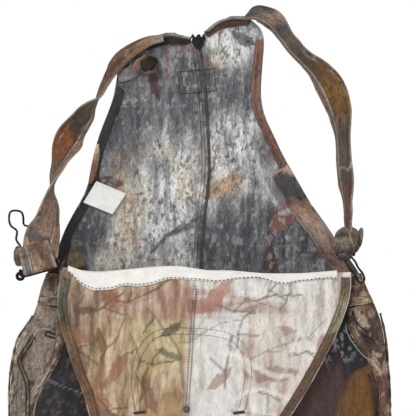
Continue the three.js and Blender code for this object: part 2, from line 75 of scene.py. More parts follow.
MM = 0.001
GRID = 2.2 * MM  # spacing of the cloth's vertices
CLOTH = 1.3 * MM  # thickness of one ply
SEED = 7

_, back_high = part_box("back_panel_left")
bib_low, bib_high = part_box("bib_panel_left")
FOLD_Z = bib_high.z
BULGE = back_high.y - 4 * MM  # depth of the lens between the plane of the side seams and its middle
SIDE_GAP = 3 * MM
WAIST_HALF = 206 * MM
HIP_HALF = 252 * MM
HIP_DROP = 110 * MM
BIB_PLANE = bib_low.y + 1 * MM
BIB_CURVE = 12 * MM
BIB_HALF = 190 * MM

# ------------------------------------------------------------------------------------------------
# Noise and small array helpers
# ------------------------------------------------------------------------------------------------


def smoothstep(value, low, high):
    share = np.clip((value - low) / (high - low), 0, 1)
    return share * share * (3 - 2 * share)


def lattice(ix, iz, seed):
    """A repeatable random number from 0 to 1 for each whole-number pair."""
    mixed = (ix * 374761393 + iz * 668265263 + (seed + SEED) * 974634777) & 0xFFFFFFFF
    mixed = ((mixed ^ (mixed >> 13)) * 1274126177) & 0xFFFFFFFF
    return ((mixed ^ (mixed >> 16)) & 0xFFFF) / 65535.0


def noise(x, z, size, seed=0):
    """Smooth noise from -1 to 1 whose lumps are about size metres across (a number or a pair)."""
    size_x, size_z = size if isinstance(size, tuple) else (size, size)
    fx, fz = np.asarray(x) / size_x + 1000, np.asarray(z) / size_z + 1000
    ix, iz = np.floor(fx).astype(np.int64), np.floor(fz).astype(np.int64)
    sx, sz = smoothstep(fx - ix, 0, 1), smoothstep(fz - iz, 0, 1)
    low = lattice(ix, iz, seed) * (1 - sx) + lattice(ix + 1, iz, seed) * sx
    high = lattice(ix, iz + 1, seed) * (1 - sx) + lattice(ix + 1, iz + 1, seed) * sx
    return (low * (1 - sz) + high * sz) * 2 - 1


def layered(x, z, size, octaves=4, seed=0):
    """Noise summed over octaves, each half the size and just over half the strength."""
    size_x, size_z = size if isinstance(size, tuple) else (size, size)
    total, strength, reach = 0.0, 1.0, 0.0
    for octave in range(octaves):
        scale = 0.5**octave
        total = total + strength * noise(x, z, (size_x * scale, size_z * scale), seed + 31 * octave)
        reach += strength
        strength *= 0.58
    return total / reach * 1.5


def mix(under, over, share):
    share = np.asarray(share)[..., None]
    return under * (1 - share) + over * share


def rgb(red, green, blue):
    """A colour given as the 0 to 255 values seen on a screen, as linear light."""
    seen = np.array([red, green, blue]) / 255.0
    return np.where(seen <= 0.04045, seen / 12.92, ((seen + 0.055) / 1.055) ** 2.4)


# ------------------------------------------------------------------------------------------------
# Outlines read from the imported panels
# ------------------------------------------------------------------------------------------------


def slices(node, along, across, count=90):
    """Where planes across one axis cut a CAD node: positions, and lowest and highest crossing."""
    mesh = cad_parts[node].data
    mesh.calc_loop_triangles()
    points = np.array([v.co for v in mesh.vertices])
    corners = points[np.array([t.vertices for t in mesh.loop_triangles])]
    low, high = points[:, along].min(), points[:, along].max()
    levels = low + (high - low) * np.linspace(0.0015, 0.9985, count)
    lows, highs = [], []
    for level in levels:
        crossing = []
        for first, second in ((0, 1), (1, 2), (2, 0)):
            a, b = corners[:, first], corners[:, second]
            da, db = a[:, along] - level, b[:, along] - level
            cut = da * db < 0
            share = (da[cut] / (da[cut] - db[cut]))[:, None]
            crossing.append((a[cut] + (b[cut] - a[cut]) * share)[:, across])
        crossing = np.concatenate(crossing)
        lows.append(crossing.min())
        highs.append(crossing.max())
    levels[0], levels[-1] = low, high
    return levels, np.array(lows), np.array(highs)


def softened(values, passes=3):
    """A row of numbers with its corners rounded, ends kept."""
    values = values.copy()
    for _ in range(passes):
        values[1:-1] = (values[:-2] + 2 * values[1:-1] + values[2:]) / 4
    return values


class Outline:
    """The left and right edges of a CAD panel at each height."""

    def __init__(self, node):
        self.levels, low, high = slices(node, 2, 0)
        self.low, self.high = softened(low), softened(high)
        self.bottom, self.top = self.levels[0], self.levels[-1]

    def left(self, z):
        return np.interp(z, self.levels, self.low)

    def right(self, z):
        return np.interp(z, self.levels, self.high)

    def edge(self, sign):
        """The left edge for a sign below 0, and otherwise the right one."""
        return self.left if sign < 0 else self.right


# ------------------------------------------------------------------------------------------------
# Depth of each layer of the garment
# ------------------------------------------------------------------------------------------------


def bulge(x, z):
    """How far the back stands behind the side seams, and the front before them."""
    share = smoothstep(FOLD_Z - z, 0, HIP_DROP)
    half = WAIST_HALF + (HIP_HALF - WAIST_HALF) * share
    across = np.minimum(np.abs(x) / half, 1)
    return SIDE_GAP + BULGE * (1 - across**2)


# ------------------------------------------------------------------------------------------------
# Mesh helpers
# ------------------------------------------------------------------------------------------------


def lengths(points):
    """How far along a line each of its points is."""
    steps = np.linalg.norm(np.diff(points, axis=0), axis=1)
    return np.concatenate([[0], np.cumsum(steps)])


def ring_faces(rings, sides):
    """Faces of a closed tube whose points come ring after ring."""
    faces = []
    for i in range(rings - 1):
        for j in range(sides):
            a, b = i * sides + j, i * sides + (j + 1) % sides
            faces.append((a, b, b + sides, a + sides))
    faces.append(tuple(range(sides))[::-1])
    faces.append(tuple(range((rings - 1) * sides, rings * sides)))
    return faces


def link(name, points, faces, material, body, replaces=()):
    """A mesh object that rides on a body and takes its finish from a slot."""
    mesh = bpy.data.meshes.new(name)
    mesh.from_pydata([tuple(p) for p in points], [], [tuple(f) for f in faces])
    mesh.validate()
    mesh.polygons.foreach_set("use_smooth", [True] * len(mesh.polygons))
    mesh.materials.append(material)
    piece = bpy.data.objects.new(name, mesh)
    bpy.context.scene.collection.objects.link(piece)
    if body:
        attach(piece, body)
    if replaces:
        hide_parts(*replaces)
    return piece


def give_colours(piece, colours):
    layer = piece.data.color_attributes.new("print", "FLOAT_COLOR", "POINT")
    flat = np.concatenate([colours, np.ones((len(colours), 1))], 1)
    layer.data.foreach_set("color", flat.astype(np.float32).ravel())


def give_map(piece, across, along):
    """A UV map that holds each vertex's place on the flat cloth, in metres."""
    layer = piece.data.uv_layers.new(name="cloth")
    corner = np.zeros(len(piece.data.loops), np.int32)
    piece.data.loops.foreach_get("vertex_index", corner)
    layer.data.foreach_set("uv", np.stack([across[corner], along[corner]], 1).ravel())


def closed_grid(front, back):
    """Points and faces of a slab between two grids of points (rows, columns, 3)."""
    rows, columns = front.shape[:2]
    number = np.arange(rows * columns).reshape(rows, columns)
    offset = rows * columns
    a, b = number[:-1, :-1], number[:-1, 1:]
    c, d = number[1:, 1:], number[1:, :-1]
    quads = np.stack([a, b, c, d], -1).reshape(-1, 4)
    backs = quads[:, ::-1] + offset
    rim = np.concatenate([number[0, :], number[1:, -1], number[-1, -2::-1], number[-2:0:-1, 0]])
    ahead = np.roll(rim, -1)
    sides = np.stack([ahead, rim, rim + offset, ahead + offset], 1)
    points = np.concatenate([front.reshape(-1, 3), back.reshape(-1, 3)])
    return points, np.concatenate([quads, backs, sides])


def grid_normals(middle):
    along_u = np.gradient(middle, axis=1)
    along_v = np.gradient(middle, axis=0)
    normal = np.cross(along_u, along_v)
    return normal / np.maximum(np.linalg.norm(normal, axis=2, keepdims=True), 1e-12)


def slab(name, middle, thickness, flat, painter, material, body, replaces=(), crown=0.0, behind=None):
    """A ply of cloth about a middle surface; flat holds each vertex's place on the cut cloth.

    crown rounds the long edges: it is the share of the thickness lost at u = 0 and 1. The side that
    the grid's normals point to is painted by painter, and the other by behind where it differs.
    """
    normal = grid_normals(middle)
    across = np.linspace(-1, 1, middle.shape[1])[None, :, None]
    half = thickness / 2 * (1 - crown * across**6)
    points, faces = closed_grid(middle + normal * half, middle - normal * half)
    piece = link(name, points, faces, material, body, replaces)
    x, z = flat[..., 0].ravel(), flat[..., 1].ravel()
    give_colours(piece, np.concatenate([painter(x, z), (behind or painter)(x, z)]))
    give_map(piece, np.tile(x, 2), np.tile(z, 2))
    return piece


def panel_grid(outline, depth, left=None, right=None, warp=None):
    """A grid of cloth between an outline's edges: its middle surface and its flat places."""
    left, right = left or outline.left, right or outline.right
    widest = float(np.max(right(outline.levels) - left(outline.levels)))
    rows = max(int((outline.top - outline.bottom) / GRID), 2)
    columns = max(int(widest / GRID), 2)
    z = np.linspace(outline.bottom, outline.top, rows)[:, None] * np.ones((1, columns))
    u = np.linspace(0, 1, columns)[None, :]
    x = left(z) + (right(z) - left(z)) * u
    flat = np.stack([x, z], -1)
    if warp is not None:
        z = warp(x, z)
    return np.stack([x, depth(x, z), z], -1), flat


def strip_grid(path, near, far, depth, lift, columns=9, wobble=0.0, seed=0, bulges=0.0):
    """A band beside a path of (x, z) points: its middle surface and its flat places.

    near and far are distances to the left of the path. lift is how far towards -Y it stands.
    """
    path = np.asarray(path, float)
    length = lengths(path)
    rows = max(int(length[-1] / GRID), 3)
    at = np.linspace(0, length[-1], rows)
    x, z = np.interp(at, length, path[:, 0]), np.interp(at, length, path[:, 1])
    dx, dz = np.gradient(x), np.gradient(z)
    size = np.maximum(np.hypot(dx, dz), 1e-12)
    side_x, side_z = softened(-dz / size, 8), softened(dx / size, 8)
    waver = wobble * noise(at, at * 0, 11 * MM, seed)
    u = np.linspace(0, 1, columns)[None, :]
    reach = (near + (far - near) * u) + waver[:, None]
    grid_x = x[:, None] + side_x[:, None] * reach
    grid_z = z[:, None] + side_z[:, None] * reach
    puff = bulges * noise(grid_x, grid_z, 9 * MM, seed + 5) * np.sin(math.pi * u)
    grid_y = depth(grid_x, grid_z) - lift - puff
    middle = np.stack([grid_x, grid_y, grid_z], -1)
    flat = np.stack([reach + 0 * grid_x, at[:, None] + 0 * grid_x], -1)
    return middle, flat, np.stack([grid_x, grid_z], -1)


def tube(points, radius, sides):
    """Points and faces of a round tube along a polyline, its section kept from twisting."""
    points = np.asarray(points, float)
    count = len(points)
    radius = np.broadcast_to(radius, (count,))
    tangent = np.gradient(points, axis=0)
    tangent /= np.linalg.norm(tangent, axis=1, keepdims=True)
    side = np.cross(tangent[0], [0.0, 1.0, 0.0])
    if np.linalg.norm(side) < 1e-3:
        side = np.cross(tangent[0], [1.0, 0.0, 0.0])
    ring_points = []
    angles = np.linspace(0, 2 * math.pi, sides, endpoint=False)
    for i in range(count):
        side = side - tangent[i] * np.dot(side, tangent[i])
        side /= np.linalg.norm(side)
        other = np.cross(tangent[i], side)
        ring = np.outer(np.cos(angles), side) + np.outer(np.sin(angles), other)
        ring_points.append(points[i] + ring * radius[i])
    return np.concatenate(ring_points), ring_faces(count, sides)


def smooth_path(points, count):
    """A centripetal curve through points, sampled evenly along its length."""
    points = np.asarray(points, float)
    gaps = np.sqrt(np.maximum(np.linalg.norm(np.diff(points[:, :3], axis=0), axis=1), 1e-9))
    knots = np.concatenate([[0], np.cumsum(gaps)])
    first = 2 * points[0] - points[1]
    last = 2 * points[-1] - points[-2]
    padded = np.vstack([first, points, last])
    padded_knots = np.concatenate([[knots[0] - gaps[0]], knots, [knots[-1] + gaps[-1]]])
    fine = []
    for i in range(1, len(padded) - 2):
        t0, t1, t2, t3 = padded_knots[i - 1 : i + 3]
        p0, p1, p2, p3 = padded[i - 1 : i + 3]
        for t in np.linspace(t1, t2, 16, endpoint=False):
            a1 = (t1 - t) / (t1 - t0) * p0 + (t - t0) / (t1 - t0) * p1
            a2 = (t2 - t) / (t2 - t1) * p1 + (t - t1) / (t2 - t1) * p2
            a3 = (t3 - t) / (t3 - t2) * p2 + (t - t2) / (t3 - t2) * p3
            b1 = (t2 - t) / (t2 - t0) * a1 + (t - t0) / (t2 - t0) * a2
            b2 = (t3 - t) / (t3 - t1) * a2 + (t - t1) / (t3 - t1) * a3
            fine.append((t2 - t) / (t2 - t1) * b1 + (t - t1) / (t2 - t1) * b2)
    fine = np.array(fine + [points[-1]])
    length = lengths(fine[:, :3])
    even = np.linspace(0, length[-1], count)
    return np.stack([np.interp(even, length, fine[:, k]) for k in range(points.shape[1])], 1)

# ------------------------------------------------------------------------------------------------
# Materials
# ------------------------------------------------------------------------------------------------


COLOUR_A, COLOUR_B, COLOUR_OUT = 6, 7, 2  # the colour sockets of a Mix node


class Nodes:
    """A short way to add and join shader nodes."""

    def __init__(self, name):
        self.material = bpy.data.materials.new(name)
        self.material.use_nodes = True
        self.tree = self.material.node_tree
        self.shader = self.tree.nodes["Principled BSDF"]

    def add(self, kind, **settings):
        node = self.tree.nodes.new(kind)
        for key, value in settings.items():
            if key in node.inputs:
                node.inputs[key].default_value = value
            else:
                setattr(node, key, value)
        return node

    def join(self, source, target):
        self.tree.links.new(source, target)

    def mapped(self, coordinates, scale, rotation=0.0):
        node = self.add("ShaderNodeMapping")
        node.inputs["Scale"].default_value = scale
        node.inputs["Rotation"].default_value = (0, 0, rotation)
        self.join(coordinates, node.inputs["Vector"])
        return node.outputs["Vector"]

    def noise(self, vector, scale, detail=3.0, roughness=0.55):
        node = self.add("ShaderNodeTexNoise", Scale=scale, Detail=detail, Roughness=roughness)
        self.join(vector, node.inputs["Vector"])
        return node.outputs["Fac"]

    def ramp(self, value, low, high, dark=0.0, light=1.0):
        node = self.add("ShaderNodeMapRange")
        node.inputs["From Min"].default_value = low
        node.inputs["From Max"].default_value = high
        node.inputs["To Min"].default_value = dark
        node.inputs["To Max"].default_value = light
        self.join(value, node.inputs["Value"])
        return node.outputs["Result"]

    def math(self, operation, first, second):
        node = self.add("ShaderNodeMath", operation=operation)
        for socket, value in zip(node.inputs, (first, second)):
            if isinstance(value, (int, float)):
                socket.default_value = value
            else:
                self.join(value, socket)
        return node.outputs["Value"]

    def tinted(self, colour, factor):
        """A colour multiplied by a grey factor."""
        node = self.add("ShaderNodeMix", data_type="RGBA", blend_type="MULTIPLY")
        node.inputs[0].default_value = 1.0
        self.join(colour, node.inputs[COLOUR_A])
        self.join(factor, node.inputs[COLOUR_B])
        return node.outputs[COLOUR_OUT]

    def blended(self, first, second, factor):
        """One colour fading into another by a grey factor."""
        node = self.add("ShaderNodeMix", data_type="RGBA")
        node.inputs[COLOUR_A].default_value = (*first, 1)
        node.inputs[COLOUR_B].default_value = (*second, 1)
        self.join(factor, node.inputs[0])
        return node.outputs[COLOUR_OUT]

    def bump(self, height, distance, strength=1.0, below=None):
        node = self.add("ShaderNodeBump", Strength=strength, Distance=distance)
        self.join(height, node.inputs["Height"])
        if below is not None:
            self.join(below, node.inputs["Normal"])
        return node.outputs["Normal"]


def twill(nodes, place, pitch):
    """Height of a twill weave: fine diagonal ribs crossed by the yarns."""
    ribs = nodes.add("ShaderNodeTexWave", wave_type="BANDS", bands_direction="DIAGONAL")
    ribs.inputs["Scale"].default_value = 1 / pitch
    ribs.inputs["Distortion"].default_value = 0.6
    ribs.inputs["Detail"].default_value = 1.0
    nodes.join(place, ribs.inputs["Vector"])
    yarns = nodes.noise(nodes.mapped(place, (1.0, 0.25, 1.0)), 1.6 / pitch, 2.0)
    return nodes.math("ADD", ribs.outputs["Fac"], nodes.math("MULTIPLY", yarns, 0.9))


def printed_cloth(name, streaks, fleck, rough=0.88, weave=1.1 * MM):
    """Twill that takes its print from the mesh and adds its own fibres, flecks and weave.

    streaks and fleck say how strongly the vertical rubbing and the dark specks show.
    """
    nodes = Nodes(name)
    place = nodes.add("ShaderNodeUVMap", uv_map="cloth").outputs["UV"]
    painted = nodes.add("ShaderNodeAttribute", attribute_name="print").outputs["Color"]
    rubbed = nodes.noise(nodes.mapped(place, (1.0, 0.34, 1.0)), 460.0, 4.0, 0.68)
    broad = nodes.noise(nodes.mapped(place, (1.0, 0.3, 1.0)), 110.0, 3.0, 0.6)
    specks = nodes.noise(nodes.mapped(place, (1.0, 0.7, 1.0)), 520.0, 2.0, 0.5)
    lit = nodes.ramp(rubbed, 0.34, 0.66, 1 - streaks, 1 + streaks)
    washed = nodes.ramp(broad, 0.36, 0.64, 1 - streaks * 0.6, 1 + streaks * 0.6)
    flecked = nodes.ramp(specks, 0.36, 0.43, 1 - fleck, 1.0)
    colour = nodes.tinted(painted, lit)
    colour = nodes.tinted(colour, washed)
    colour = nodes.tinted(colour, flecked)
    nodes.join(colour, nodes.shader.inputs["Base Color"])
    weave_height = twill(nodes, place, weave)
    normal = nodes.bump(weave_height, 0.25 * MM, 0.5)
    normal = nodes.bump(broad, 1.2 * MM, 0.35, normal)
    nodes.join(normal, nodes.shader.inputs["Normal"])
    nodes.join(nodes.ramp(rubbed, 0.3, 0.7, rough - 0.1, rough + 0.08), nodes.shader.inputs["Roughness"])
    nodes.shader.inputs["Sheen Weight"].default_value = 0.12
    nodes.shader.inputs["Sheen Roughness"].default_value = 0.5
    nodes.shader.inputs["Specular IOR Level"].default_value = 0.25
    return nodes.material


def thread_material(name, colour, worn):
    """Twisted sewing thread, paler where it is rubbed."""
    nodes = Nodes(name)
    place = nodes.add("ShaderNodeTexCoord").outputs["Object"]
    twist = nodes.noise(place, 1400.0, 2.0)
    wear = nodes.noise(place, 160.0, 3.0)
    blend = nodes.blended(colour, worn, nodes.ramp(wear, 0.5, 0.75))
    nodes.join(blend, nodes.shader.inputs["Base Color"])
    nodes.join(nodes.bump(twist, 0.2 * MM, 0.6), nodes.shader.inputs["Normal"])
    nodes.join(nodes.ramp(twist, 0.3, 0.7, 0.6, 0.85), nodes.shader.inputs["Roughness"])
    return nodes.material


def worn_material(name, colour, rust, rough, rust_share, metallic=True):
    """Painted or plated metal, or leather, with rubbed or rusted places."""
    nodes = Nodes(name)
    place = nodes.add("ShaderNodeTexCoord").outputs["Object"]
    patches = nodes.noise(place, 220.0, 4.0, 0.65)
    grain = nodes.noise(place, 1500.0, 2.0)
    edge = 0.62 - 0.2 * rust_share
    share = nodes.ramp(patches, edge, edge + 0.12)
    nodes.join(nodes.blended(colour, rust, share), nodes.shader.inputs["Base Color"])
    nodes.join(nodes.ramp(patches, 0.3, 0.75, rough, rough + 0.4), nodes.shader.inputs["Roughness"])
    if metallic:
        nodes.join(nodes.ramp(share, 0.0, 1.0, 0.9, 0.2), nodes.shader.inputs["Metallic"])
    nodes.join(nodes.bump(grain, 0.15 * MM, 0.5), nodes.shader.inputs["Normal"])
    return nodes.material


inside_cloth = printed_cloth("inside_cloth", 0.34, 0.42)
bib_cloth = printed_cloth("bib_cloth", 0.13, 0.14)
outside_cloth = printed_cloth("outside_cloth", 0.3, 0.38)
dark_cloth = printed_cloth("dark_cloth", 0.30, 0.35)
tape_cloth = printed_cloth("tape_cloth", 0.04, 0.03, 0.8, 0.9 * MM)
black_thread = thread_material("black_thread", (0.012, 0.011, 0.012), (0.09, 0.085, 0.08))
pale_thread = thread_material("pale_thread", (0.42, 0.38, 0.33), (0.62, 0.58, 0.5))
brown_thread = thread_material("brown_thread", (0.055, 0.03, 0.02), (0.16, 0.1, 0.07))
wire_metal = worn_material("wire_metal", (0.018, 0.015, 0.014), (0.12, 0.055, 0.03), 0.32, 0.35)
tack_metal = worn_material("tack_metal", (0.17, 0.13, 0.085), (0.05, 0.035, 0.025), 0.3, 0.6)
patch_leather = worn_material("patch_leather", (0.11, 0.055, 0.03), (0.2, 0.11, 0.065), 0.5, 0.5, False)

# ------------------------------------------------------------------------------------------------
# The print: a woodland pattern of bark, limbs and leaves, painted onto the vertices
# ------------------------------------------------------------------------------------------------

# Colours as seen on a screen. Inside, the print shows through faded; outside it is full.
SLATE, ASH, STONE = rgb(84, 86, 93), rgb(132, 133, 137), rgb(170, 168, 166)
CHALK, CREAM, SAND = rgb(214, 212, 208), rgb(206, 196, 180), rgb(176, 148, 120)
RUST, UMBER, INK = rgb(128, 92, 80), rgb(74, 58, 50), rgb(40, 38, 41)
WHEAT, BLUSH = rgb(172, 146, 104), rgb(176, 142, 124)
OLIVE, MOSS, PLUM = rgb(104, 86, 52), rgb(92, 98, 78), rgb(84, 62, 62)
FOX, CHESTNUT, CHARCOAL = rgb(120, 76, 50), rgb(92, 68, 54), rgb(50, 47, 50)
DUST, BUFF = rgb(134, 122, 110), rgb(158, 134, 108)


def leaf(x, z, centre, length, width, angle, seed=0, ragged=0.25):
    """Share from 0 to 1 of a pointed leaf shape with a ragged edge, all in metres and degrees."""
    turn = math.radians(angle)
    dx, dz = x - centre[0], z - centre[1]
    along = (dx * math.cos(turn) + dz * math.sin(turn)) / (length / 2)
    across = (-dx * math.sin(turn) + dz * math.cos(turn)) / (width / 2)
    bend = 0.25 * along * along
    waver = ragged * layered(x, z, width * 0.55, 3, seed)
    reach = np.clip(1 - along**2, 0, 1) ** 0.8
    inside = reach * (1 + waver) - np.abs(across - bend)
    return smoothstep(inside, 0.0, 0.16) * (np.abs(along) < 1)


def away(x, z, points):
    """How far each place is from a chain of points."""
    best = np.full(np.shape(x), 1e9)
    for (ax, az), (bx, bz) in zip(points[:-1], points[1:]):
        dx, dz = bx - ax, bz - az
        share = np.clip(((x - ax) * dx + (z - az) * dz) / (dx * dx + dz * dz), 0, 1)
        best = np.minimum(best, np.hypot(x - ax - share * dx, z - az - share * dz))
    return best


def limb(x, z, points, width, seed=0):
    """Share of a branch drawn along a chain of points, with rough bark edges."""
    best = away(x, z, points)
    half = width / 2 * (1 + 0.5 * layered(x, z, width * 1.4, 3, seed))
    return smoothstep(half - best, -0.1 * width, 0.25 * width)


def blob(x, z, centre, reach_x, reach_z, seed=0, soft=0.5, ragged=0.5):
    """Share of a wide soft patch."""
    far = np.hypot((x - centre[0]) / reach_x, (z - centre[1]) / reach_z)
    far = far + ragged * layered(x, z, (reach_x * 0.5, reach_z * 0.5), 4, seed)
    return 1 - smoothstep(far, 1 - soft, 1 + soft * 0.3)


def widest(x, z, patches):
    """Share of the strongest of several soft patches: strength, centre, reaches, seed and softness."""
    share = 0.0
    for strength, centre, reach_x, reach_z, seed, soft in patches:
        share = np.maximum(share, strength * blob(x, z, centre, reach_x, reach_z, seed, soft))
    return share


def with_leaves(colour, x, z, grain, leaves, relief, ragged, strength):
    """Leaves laid over a colour: centre, length, width, angle, tone and seed of each."""
    for centre, length, width, angle, tone, seed in leaves:
        share = leaf(x, z, centre, length, width, angle, seed, ragged)
        colour = mix(colour, tone * (1 + relief * grain[..., None]), share * strength)
    return colour


def with_limbs(colour, x, z, limbs, strength):
    """Branches laid over a colour: points, width, tone and seed of each."""
    for points, width, tone, seed in limbs:
        colour = mix(colour, tone, limb(x, z, points, width, seed) * strength)
    return colour


def bark(x, z, seed=0):
    """Upright bark texture from -1 to 1: long broken streaks with fine cracks."""
    drift = 4 * MM * layered(x, z, (30 * MM, 60 * MM), 2, seed + 3)
    streak = layered(x + drift, z, (7 * MM, 60 * MM), 4, seed)
    crack = layered(x + drift, z, (3.2 * MM, 16 * MM), 3, seed + 9)
    return 0.62 * streak + 0.5 * crack


def speckle(x, z, size, amount, seed=0):
    """Small dark flecks that cover about amount of the cloth."""
    return smoothstep(layered(x, z, (size, size * 1.5), 2, seed), 1 - 2 * amount, 1.15 - 2 * amount)


FORK_SEED = 50  # added to a branch's seed for the rough edge of its fork


def strewn(draw, count, low, high, apart):
    """Places strewn over a region, no two of them closer than apart."""
    places = []
    while len(places) < count:
        place = draw.uniform(low, high)
        if all(np.hypot(*(place - other)) > apart for other in places):
            places.append(place)
        apart *= 0.99
    return places


def leaf_layout(count, low, high, apart, tones, seed):
    """Leaves of the print, laid out by chance: centre, length, width, angle, tone and seed of each."""
    draw = np.random.default_rng(seed)
    leaves = []
    for number, centre in enumerate(strewn(draw, count, low, high, apart)):
        length = draw.uniform(0.034, 0.08)
        width = length * draw.uniform(0.24, 0.46)
        angle, tone = draw.uniform(-80, 80), tones[number % len(tones)]
        leaves.append((centre, length, width, angle, tone, seed + number))
    return leaves


def pointing(heading):
    return np.array([math.cos(heading), math.sin(heading)])


def twig_layout(count, low, high, apart, tones, widths, steps, seed):
    """Branches of the print: each sets out from a strewn place, bends at every step, and forks once."""
    draw = np.random.default_rng(seed)
    twigs = []
    for number, start in enumerate(strewn(draw, count, low, high, apart)):
        heading, tone = draw.uniform(-1.3, 1.3), tones[number % len(tones)]
        points = [start]
        for _ in range(draw.integers(3, 6)):
            heading += draw.normal(0, 0.35)
            points.append(points[-1] + draw.uniform(*steps) * pointing(heading))
        width = draw.uniform(*widths)
        twigs.append((points, width, tone, seed + number))
        heading += draw.choice((-0.9, 0.9))
        tip = points[1] + 1.3 * steps[1] * pointing(heading)
        twigs.append(([points[1], tip], width * 0.8, tone, seed + number + FORK_SEED))
    return twigs


# The print's own layout: count, corners of the region, spacing, tones, widths, steps and seed.
VEIN, SMOKE, PALE = rgb(104, 74, 50), rgb(112, 106, 104), rgb(232, 229, 224)
BROWNS = (rgb(98, 76, 66), MOSS, rgb(150, 108, 80), rgb(96, 78, 74), rgb(148, 102, 82), rgb(128, 94, 72),
          WHEAT)
BLUSHES = (rgb(166, 140, 128), rgb(160, 128, 114), rgb(166, 122, 106), BLUSH)
BACK_TONES = (RUST, CREAM, SLATE, RUST, WHEAT, PLUM, SAND, CHALK)
BACK_LEAVES = leaf_layout(24, (-0.2, -0.6), (0.2, 0.01), 0.06, BACK_TONES, 21)
BACK_LIMBS = twig_layout(
    9, (-0.2, -0.55), (0.12, 0.0), 0.1, (STONE, RUST, STONE, SLATE), (0.004, 0.011), (0.018, 0.036), 51)
BIB_LEAVES = leaf_layout(14, (-0.18, -0.54), (-0.03, -0.33), 0.04, BROWNS, 81)
BIB_LEAVES += leaf_layout(8, (0.0, -0.54), (0.16, -0.33), 0.05, BLUSHES, 96)
BIB_LIMBS = twig_layout(5, (0.0, -0.5), (0.13, -0.34), 0.05, (CHALK,), (0.006, 0.01), (0.018, 0.032), 101)
BIB_LIMBS += twig_layout(
    6, (-0.17, -0.5), (0.1, -0.34), 0.06, (rgb(120, 98, 80), rgb(120, 112, 112)), (0.002, 0.003),
    (0.015, 0.03), 111)
BIB_VEINS = twig_layout(
    9, (-0.18, -0.5), (-0.06, -0.34), 0.045, (VEIN, VEIN, VEIN, MOSS), (1.2 * MM, 1.6 * MM),
    (0.011, 0.02), 122)
BIB_VEINS += twig_layout(
    8, (0.0, -0.5), (0.12, -0.33), 0.05, (SMOKE,), (1.1 * MM, 1.9 * MM), (0.011, 0.02), 133)
BIB_VEINS += twig_layout(
    4, (0.0, -0.48), (0.13, -0.34), 0.06, (PALE,), (3 * MM, 5.5 * MM), (0.014, 0.024), 144)


def paint_back(x, z):
    """The faded inside of the back: slate bark, a chalky trunk down the middle, leaves at the seam."""
    grain = bark(x, z, 1)
    colour = mix(rgb(86, 87, 92), rgb(136, 135, 136), smoothstep(grain, -0.6, 1.0))
    trunk = widest(x, z, (
        (1.0, (-0.045, -0.205), 0.062, 0.115, 3, 0.7),
        (1.0, (0.035, -0.165), 0.055, 0.07, 4, 0.6),
        (1.0, (0.035, -0.012), 0.045, 0.032, 5, 0.7),
        (0.75, (-0.11, -0.29), 0.06, 0.05, 6, 0.7),
    ))
    chalky = mix(rgb(150, 150, 152), rgb(212, 212, 211), smoothstep(grain, -0.6, 0.3))
    chalky = mix(chalky, CREAM, smoothstep(layered(x, z, 0.05, 3, 7), 0.0, 0.6) * 0.7)
    colour = mix(colour, chalky, trunk)
    warm = blob(x, z, (-0.1, -0.235), 0.03, 0.075, 8, 0.8)
    colour = mix(colour, mix(SAND, CREAM, smoothstep(grain, -0.4, 0.4)), warm * 0.7)
    dark = widest(x, z, (
        (1.0, (-0.115, -0.1), 0.045, 0.07, 9, 0.6),
        (1.0, (0.09, -0.262), 0.105, 0.055, 10, 0.5),
        (1.0, (0.098, -0.128), 0.03, 0.04, 11, 0.5),
        (1.0, (-0.165, -0.262), 0.035, 0.045, 12, 0.5),
        (0.8, (-0.02, -0.055), 0.02, 0.06, 13, 0.8),
    ))
    deep = mix(rgb(66, 66, 71), rgb(112, 112, 115), smoothstep(grain, -0.5, 1.0))
    colour = mix(colour, deep, dark * 0.85)
    colour = with_leaves(colour, x, z, grain, BACK_LEAVES, 0.18, 0.25, 0.88)
    colour = with_limbs(colour, x, z, BACK_LIMBS, 0.8)
    cracks = speckle(x, z, 3.6 * MM, 0.3, 61) * smoothstep(trunk, 0.1, 0.8)
    colour = mix(colour, rgb(66, 66, 71), cracks * 0.7)
    veins = np.abs(layered(x + 3 * MM * grain, z, (12 * MM, 40 * MM), 3, 63))
    cracked = (1 - smoothstep(veins, 0.0, 0.05)) * 0.55 * smoothstep(trunk, 0.0, 0.6)
    colour = mix(colour, rgb(58, 58, 62), cracked)
    twigs = np.abs(layered(x, z, (50 * MM, 26 * MM), 3, 64))
    colour = mix(colour, rgb(176, 166, 156), (1 - smoothstep(twigs, 0.0, 0.03)) * 0.4)
    return mix(colour, CHALK, speckle(x, z, 5 * MM, 0.26, 62) * 0.22 * (1 - trunk))


